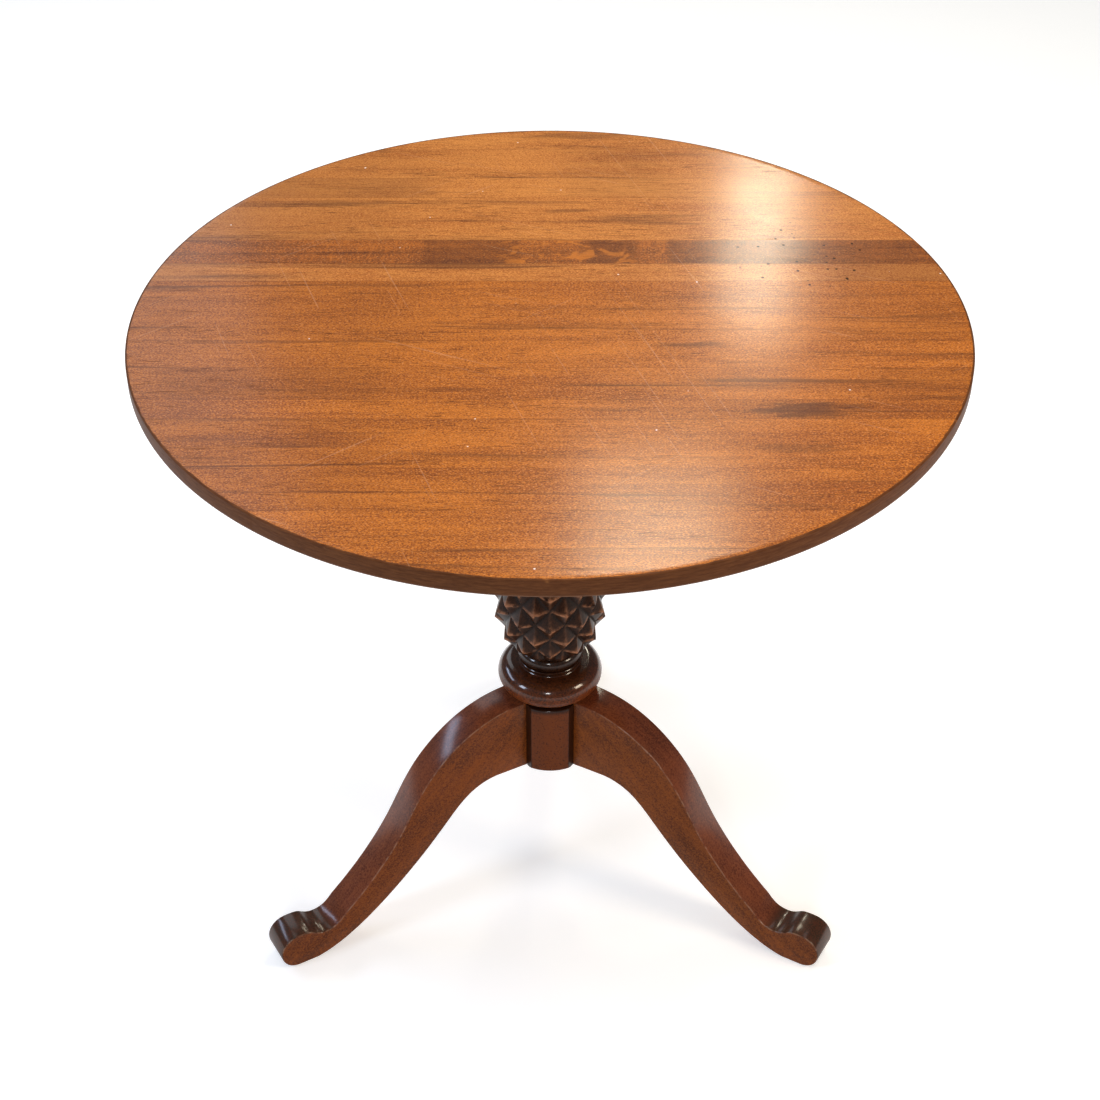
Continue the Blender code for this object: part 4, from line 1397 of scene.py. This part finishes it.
@dataclass
class Joinery:
    """Block, bearers, wedge and plates: their own solids with eased edges and real finishes."""

    ease: float = 0.0007

    def build(self) -> None:
        """Dress every solid that keeps its shape."""
        bearers = PlainTimber("bearer_timber", (0.250, 0.115, 0.054), (0.125, 0.052, 0.024), Axis.Y, 0.5)
        block = PlainTimber("block_timber", (0.225, 0.100, 0.046), (0.110, 0.046, 0.021), Axis.X, 0.3)
        wedge = PlainTimber("wedge_timber", (0.47, 0.31, 0.17), (0.33, 0.20, 0.10), Axis.Z, 0.2)
        brass, iron = BRASS.material(), IRON.material()
        for names, material, ease in (
            (("bearer_left", "bearer_right"), bearers.material(), self.ease * 2),
            (("tilt_block",), block.material(), self.ease * 2),
            (("tenon_wedge",), wedge.material(), 0.0),
            (("keeper_plate", "catch_plate"), brass, self.ease * 0.4),
            (("catch_case", "catch_bolt"), brass, self.ease * 0.5),
            (("tripod_plate",), iron, self.ease * 0.5),
        ):
            for name in names:
                self._dress(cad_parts[name], material, ease)

    @staticmethod
    def _dress(node: bpy.types.Object, material: bpy.types.Material, ease: float) -> None:
        """Give one node its finish and eased edges.

        Args:
            node: The node's object.
            material: Its finish.
            ease: Width of the eased edge, or 0.
        """
        for slot in node.material_slots:
            slot.material = material
        if ease:
            weld = node.modifiers.new("weld", "WELD")
            weld.merge_threshold = 0.00001
            bevel = node.modifiers.new("eased_edges", "BEVEL")
            bevel.width = ease
            bevel.segments = 2
            bevel.limit_method = "ANGLE"
            bevel.angle_limit = math.radians(50)
            bevel.use_clamp_overlap = True
        LOG.info("%s: finish %s", node.name, material.name)


@dataclass
class Fasteners:
    """Slotted screws, pivot pins, the catch's knob and its spring, as round work."""

    sides: int = 40
    turn_apart: float = 1.9

    def build(self) -> None:
        """Build every small round fitting."""
        brass, steel = BRASS.material(), STEEL.material()
        hands = ("left", "right")
        bearer = [f"bearer_screw_{hand}_{n}" for hand in hands for n in range(1, 5)]
        self._screws(bearer, 0.0045, 0.0022, steel, Body.TABLETOP, Axis.Z)
        self._screws([f"catch_screw_{n}" for n in range(1, 5)], 0.0036, 0.0017, brass,
                     Body.TABLETOP, Axis.Z)
        self._screws([f"plate_screw_{n}" for n in range(1, 7)], 0.0042, 0.0021, steel,
                     Body.PEDESTAL, Axis.Z)
        self._screws([f"keeper_screw_{n}" for n in (1, 2)], 0.0034, 0.0016, brass,
                     Body.PEDESTAL, Axis.Y)
        for hand in hands:
            self._pin(f"pivot_pin_{hand}", steel)
        self._knob(brass)
        self._spring(steel)

    def _screws(self, names: Sequence[str], head: float, shank: float, material: bpy.types.Material,
                body: Body, axis: Axis) -> None:
        """Build one size of screw at each of its places.

        Args:
            names: The nodes.
            head: Head radius.
            shank: Shank radius.
            material: Its finish.
            body: The body it rides on.
            axis: Z for a screw that points up, Y for one that points forward.
        """
        mesh = None
        for number, name in enumerate(names):
            low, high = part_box(name)
            middle = (low + high) / 2
            length = high.z - low.z if axis is Axis.Z else high.y - low.y
            if mesh is None:
                piece = new_piece(f"slotted_{name}", self._screw(head, shank, length, axis), material)
                combine(piece, self._slot(axis))
                mesh = piece.data
            else:
                piece = add_object(f"slotted_{name}", mesh)
            turn = number * self.turn_apart
            if axis is Axis.Z:
                piece.location = (middle.x, middle.y, low.z)
                piece.rotation_euler = (0.0, 0.0, turn)
            else:
                piece.location = (middle.x, high.y, middle.z)
                piece.rotation_euler = (0.0, turn, 0.0)
            settle(piece, body, [name])

    def _screw(self, head: float, shank: float, length: float, axis: Axis) -> bmesh.types.BMesh:
        """A countersunk screw from its head's face to its point.

        Args:
            head: Head radius.
            shank: Shank radius.
            length: Overall length.
            axis: The direction it points along.

        Returns:
            The mesh.
        """
        cone = head - shank
        profile = [(head - 0.0002, 0.0), (head, 0.0002), (head, 0.0004), (shank, cone + 0.0004)]
        start = length * 0.45
        turns = max(3, int((length - start - 3 * shank) / 0.0016))
        pitch = (length - start - 3 * shank) / turns
        for n in range(turns):
            foot = start + n * pitch
            profile += [(shank, foot), (shank * 0.78, foot + pitch * 0.5)]
        profile += [(shank, length - 3 * shank), (0.0, length)]
        return lathe(profile, self.sides, axis)

    @staticmethod
    def _slot(axis: Axis) -> bmesh.types.BMesh:
        """The driving slot's cutter."""
        half, deep = 0.0005, 0.0011
        if axis is Axis.Z:
            return prism([(-0.02, -half, -0.01), (0.02, -half, -0.01), (0.02, half, -0.01),
                          (-0.02, half, -0.01)], (0, 0, 0.01 + deep))
        return prism([(-0.02, 0.01, -half), (0.02, 0.01, -half), (0.02, 0.01, half), (-0.02, 0.01, half)],
                     (0, -0.01 - deep, 0))

    def _pin(self, name: str, material: bpy.types.Material) -> None:
        """A pivot pin with turned, rounded ends.

        Args:
            name: The node.
            material: Its finish.
        """
        low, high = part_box(name)
        middle = (low + high) / 2
        radius = (high.z - low.z) / 2
        half = (high.x - low.x) / 2
        ease = 0.0008
        profile = arc((radius - ease, -half + ease), (ease, ease), -90, 0, 4)
        profile += arc((radius - ease, half - ease), (ease, ease), 0, 90, 4)
        piece = new_piece(f"turned_{name}", lathe(profile, self.sides, Axis.X), material)
        piece.location = middle
        settle(piece, Body.PEDESTAL, [name])

    def _knob(self, material: bpy.types.Material) -> None:
        """The catch's ball knob with a small collar on its stem.

        Args:
            material: Its finish.
        """
        low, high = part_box("catch_knob")
        middle = (low + high) / 2
        ball = (high.x - low.x) / 2
        stem = 0.0026
        centre = low.z + ball
        profile = [(0.0, low.z)] + arc((0.0, centre), (ball, ball), -84, 58, 18)
        profile += [(stem + 0.0004, centre + ball * 0.86), (stem + 0.0008, centre + ball * 0.95),
                    (stem, centre + ball * 1.04), (stem, high.z - 0.0003), (stem - 0.0003, high.z)]
        piece = new_piece("ball_knob", lathe(profile, self.sides), material)
        piece.location = (middle.x, middle.y, 0.0)
        settle(piece, Body.CATCH_BOLT, ["catch_knob"])

    def _spring(self, material: bpy.types.Material) -> None:
        """The coil spring behind the bolt.

        Args:
            material: Its finish.
        """
        low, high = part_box("catch_spring")
        middle = (low + high) / 2
        wire = 0.0006
        coil = (high.x - low.x) / 2 - wire
        turns, per_turn, wire_sides = 5, 24, 8
        builder = bmesh.new()
        rings = []
        steps = turns * per_turn
        start, end = low.y + wire, high.y - wire
        for i in range(steps + 1):
            angle = 2 * math.pi * i / per_turn
            out = Vector((math.cos(angle), 0.0, math.sin(angle)))
            centre = Vector((middle.x, start + (end - start) * i / steps, middle.z)) + out * coil
            around = [2 * math.pi * k / wire_sides for k in range(wire_sides)]
            rings.append([
                builder.verts.new(centre + (out * math.cos(a) + Vector((0, 1, 0)) * math.sin(a)) * wire)
                for a in around
            ])
        join_rings(builder, rings)
        piece = new_piece("coil_spring", builder, material, 60.0)
        settle(piece, Body.TABLETOP, ["catch_spring"])


# ------------------------------------------------------------------ studio
@dataclass(frozen=True)
class SoftLight:
    """One rectangular lamp, aimed at a point."""

    name: str
    place: Triple
    target: Triple
    size: tuple[float, float]
    power: float
    tint: Colour = (1.0, 1.0, 1.0)

    def build(self) -> None:
        """Add the lamp."""
        data = bpy.data.lights.new(self.name, "AREA")
        data.shape = "RECTANGLE"
        data.size, data.size_y = self.size
        data.energy = self.power
        data.color = self.tint
        lamp = add_object(self.name, data)
        lamp.location = self.place
        aim = Vector(self.target) - Vector(self.place)
        lamp.rotation_euler = aim.to_track_quat("-Z", "Y").to_euler()


@dataclass
class Studio:
    """Floor, sky, lamps and camera."""

    camera_back: float = 1.700
    camera_height: float = 1.745
    camera_tilt: float = 37.63
    lens: float = 67.91
    sky: float = 0.15
    floor_reach: float = 9.0
    floor_drop: float = 0.0002
    lamps: tuple[SoftLight, ...] = (
        SoftLight("rear_window", (0.475, 2.46, 1.98), (0.21, 0.16, 0.71), (0.14, 0.43), 4.9,
                  (1.0, 0.93, 0.74)),
        SoftLight("rear_strip", (0.24, 2.10, 2.66), (0.085, -0.36, 0.71), (0.34, 0.40), 9.0,
                  (1.0, 0.91, 0.70)),
        SoftLight("rear_left_panel", (-1.10, 2.20, 2.15), (-0.34, 0.0, 0.71), (0.90, 1.60), 8.0,
                  (0.90, 0.95, 1.0)),
        SoftLight("left_window", (-2.50, 0.85, 1.80), (-0.11, -0.06, 0.23), (1.70, 0.45), 22.0,
                  (0.62, 0.74, 1.0)),
        SoftLight("front_left_window", (-2.3, -1.1, 1.9), (0.0, 0.0, 0.30), (0.60, 0.80), 24.0,
                  (0.68, 0.80, 1.0)),
        SoftLight("front_window", (-0.25, -3.0, 2.3), (0.0, 0.0, 0.30), (0.45, 0.45), 18.0),
        SoftLight("right_lamp", (2.2, -0.9, 1.8), (0.0, 0.0, 0.30), (0.70, 0.70), 27.0, (1.0, 0.84, 0.64)),
        SoftLight("warm_overhead", (0.55, -0.35, 2.35), (0.10, 0.0, 0.71), (0.9, 0.9), 11.0,
                  (1.0, 0.93, 0.84)),
        SoftLight("ceiling", (0.0, 0.2, 3.6), (0.0, 0.0, 0.0), (3.2, 3.2), 44.0),
    )

    def build(self) -> None:
        """Add everything that isn't the table."""
        self._floor()
        self._world()
        for lamp in self.lamps:
            lamp.build()
        self._camera()
        bpy.context.scene.view_settings.view_transform = "Standard"

    def _floor(self) -> None:
        """A wide pale floor just under the feet."""
        builder = bmesh.new()
        bmesh.ops.create_circle(builder, cap_ends=True, segments=96, radius=self.floor_reach)
        piece = new_piece("studio_floor", builder, StudioFloor().material())
        piece.location = (0.0, 0.0, CAD_BOX[0].z - self.floor_drop)

    def _world(self) -> None:
        """A dim, even surround."""
        world = bpy.data.worlds.new("studio")
        world.use_nodes = True
        back = world.node_tree.nodes["Background"]
        back.inputs["Color"].default_value = (1.0, 0.995, 0.985, 1.0)
        back.inputs["Strength"].default_value = self.sky
        bpy.context.scene.world = world

    def _camera(self) -> None:
        """The camera, in front of the table and above it."""
        data = bpy.data.cameras.new("camera")
        data.lens = self.lens
        data.sensor_width = 36.0
        data.clip_start = 0.05
        camera = add_object("camera", data)
        camera.location = (0.0, -self.camera_back, self.camera_height)
        camera.rotation_euler = (math.radians(90.0 - self.camera_tilt), 0.0, 0.0)
        bpy.context.scene.camera = camera


def main() -> None:
    """Build and dress the table, then the studio round it."""
    logging.basicConfig(level=logging.INFO, format="%(message)s")
    RoundTop().build()
    CarvedColumn().build()
    mesh = None
    for node, heading in LEG_HEADINGS.items():
        mesh = CurvedLeg(node, heading).build(mesh)
    Joinery().build()
    Fasteners().build()
    Studio().build()


if __name__ == "__main__":
    main()
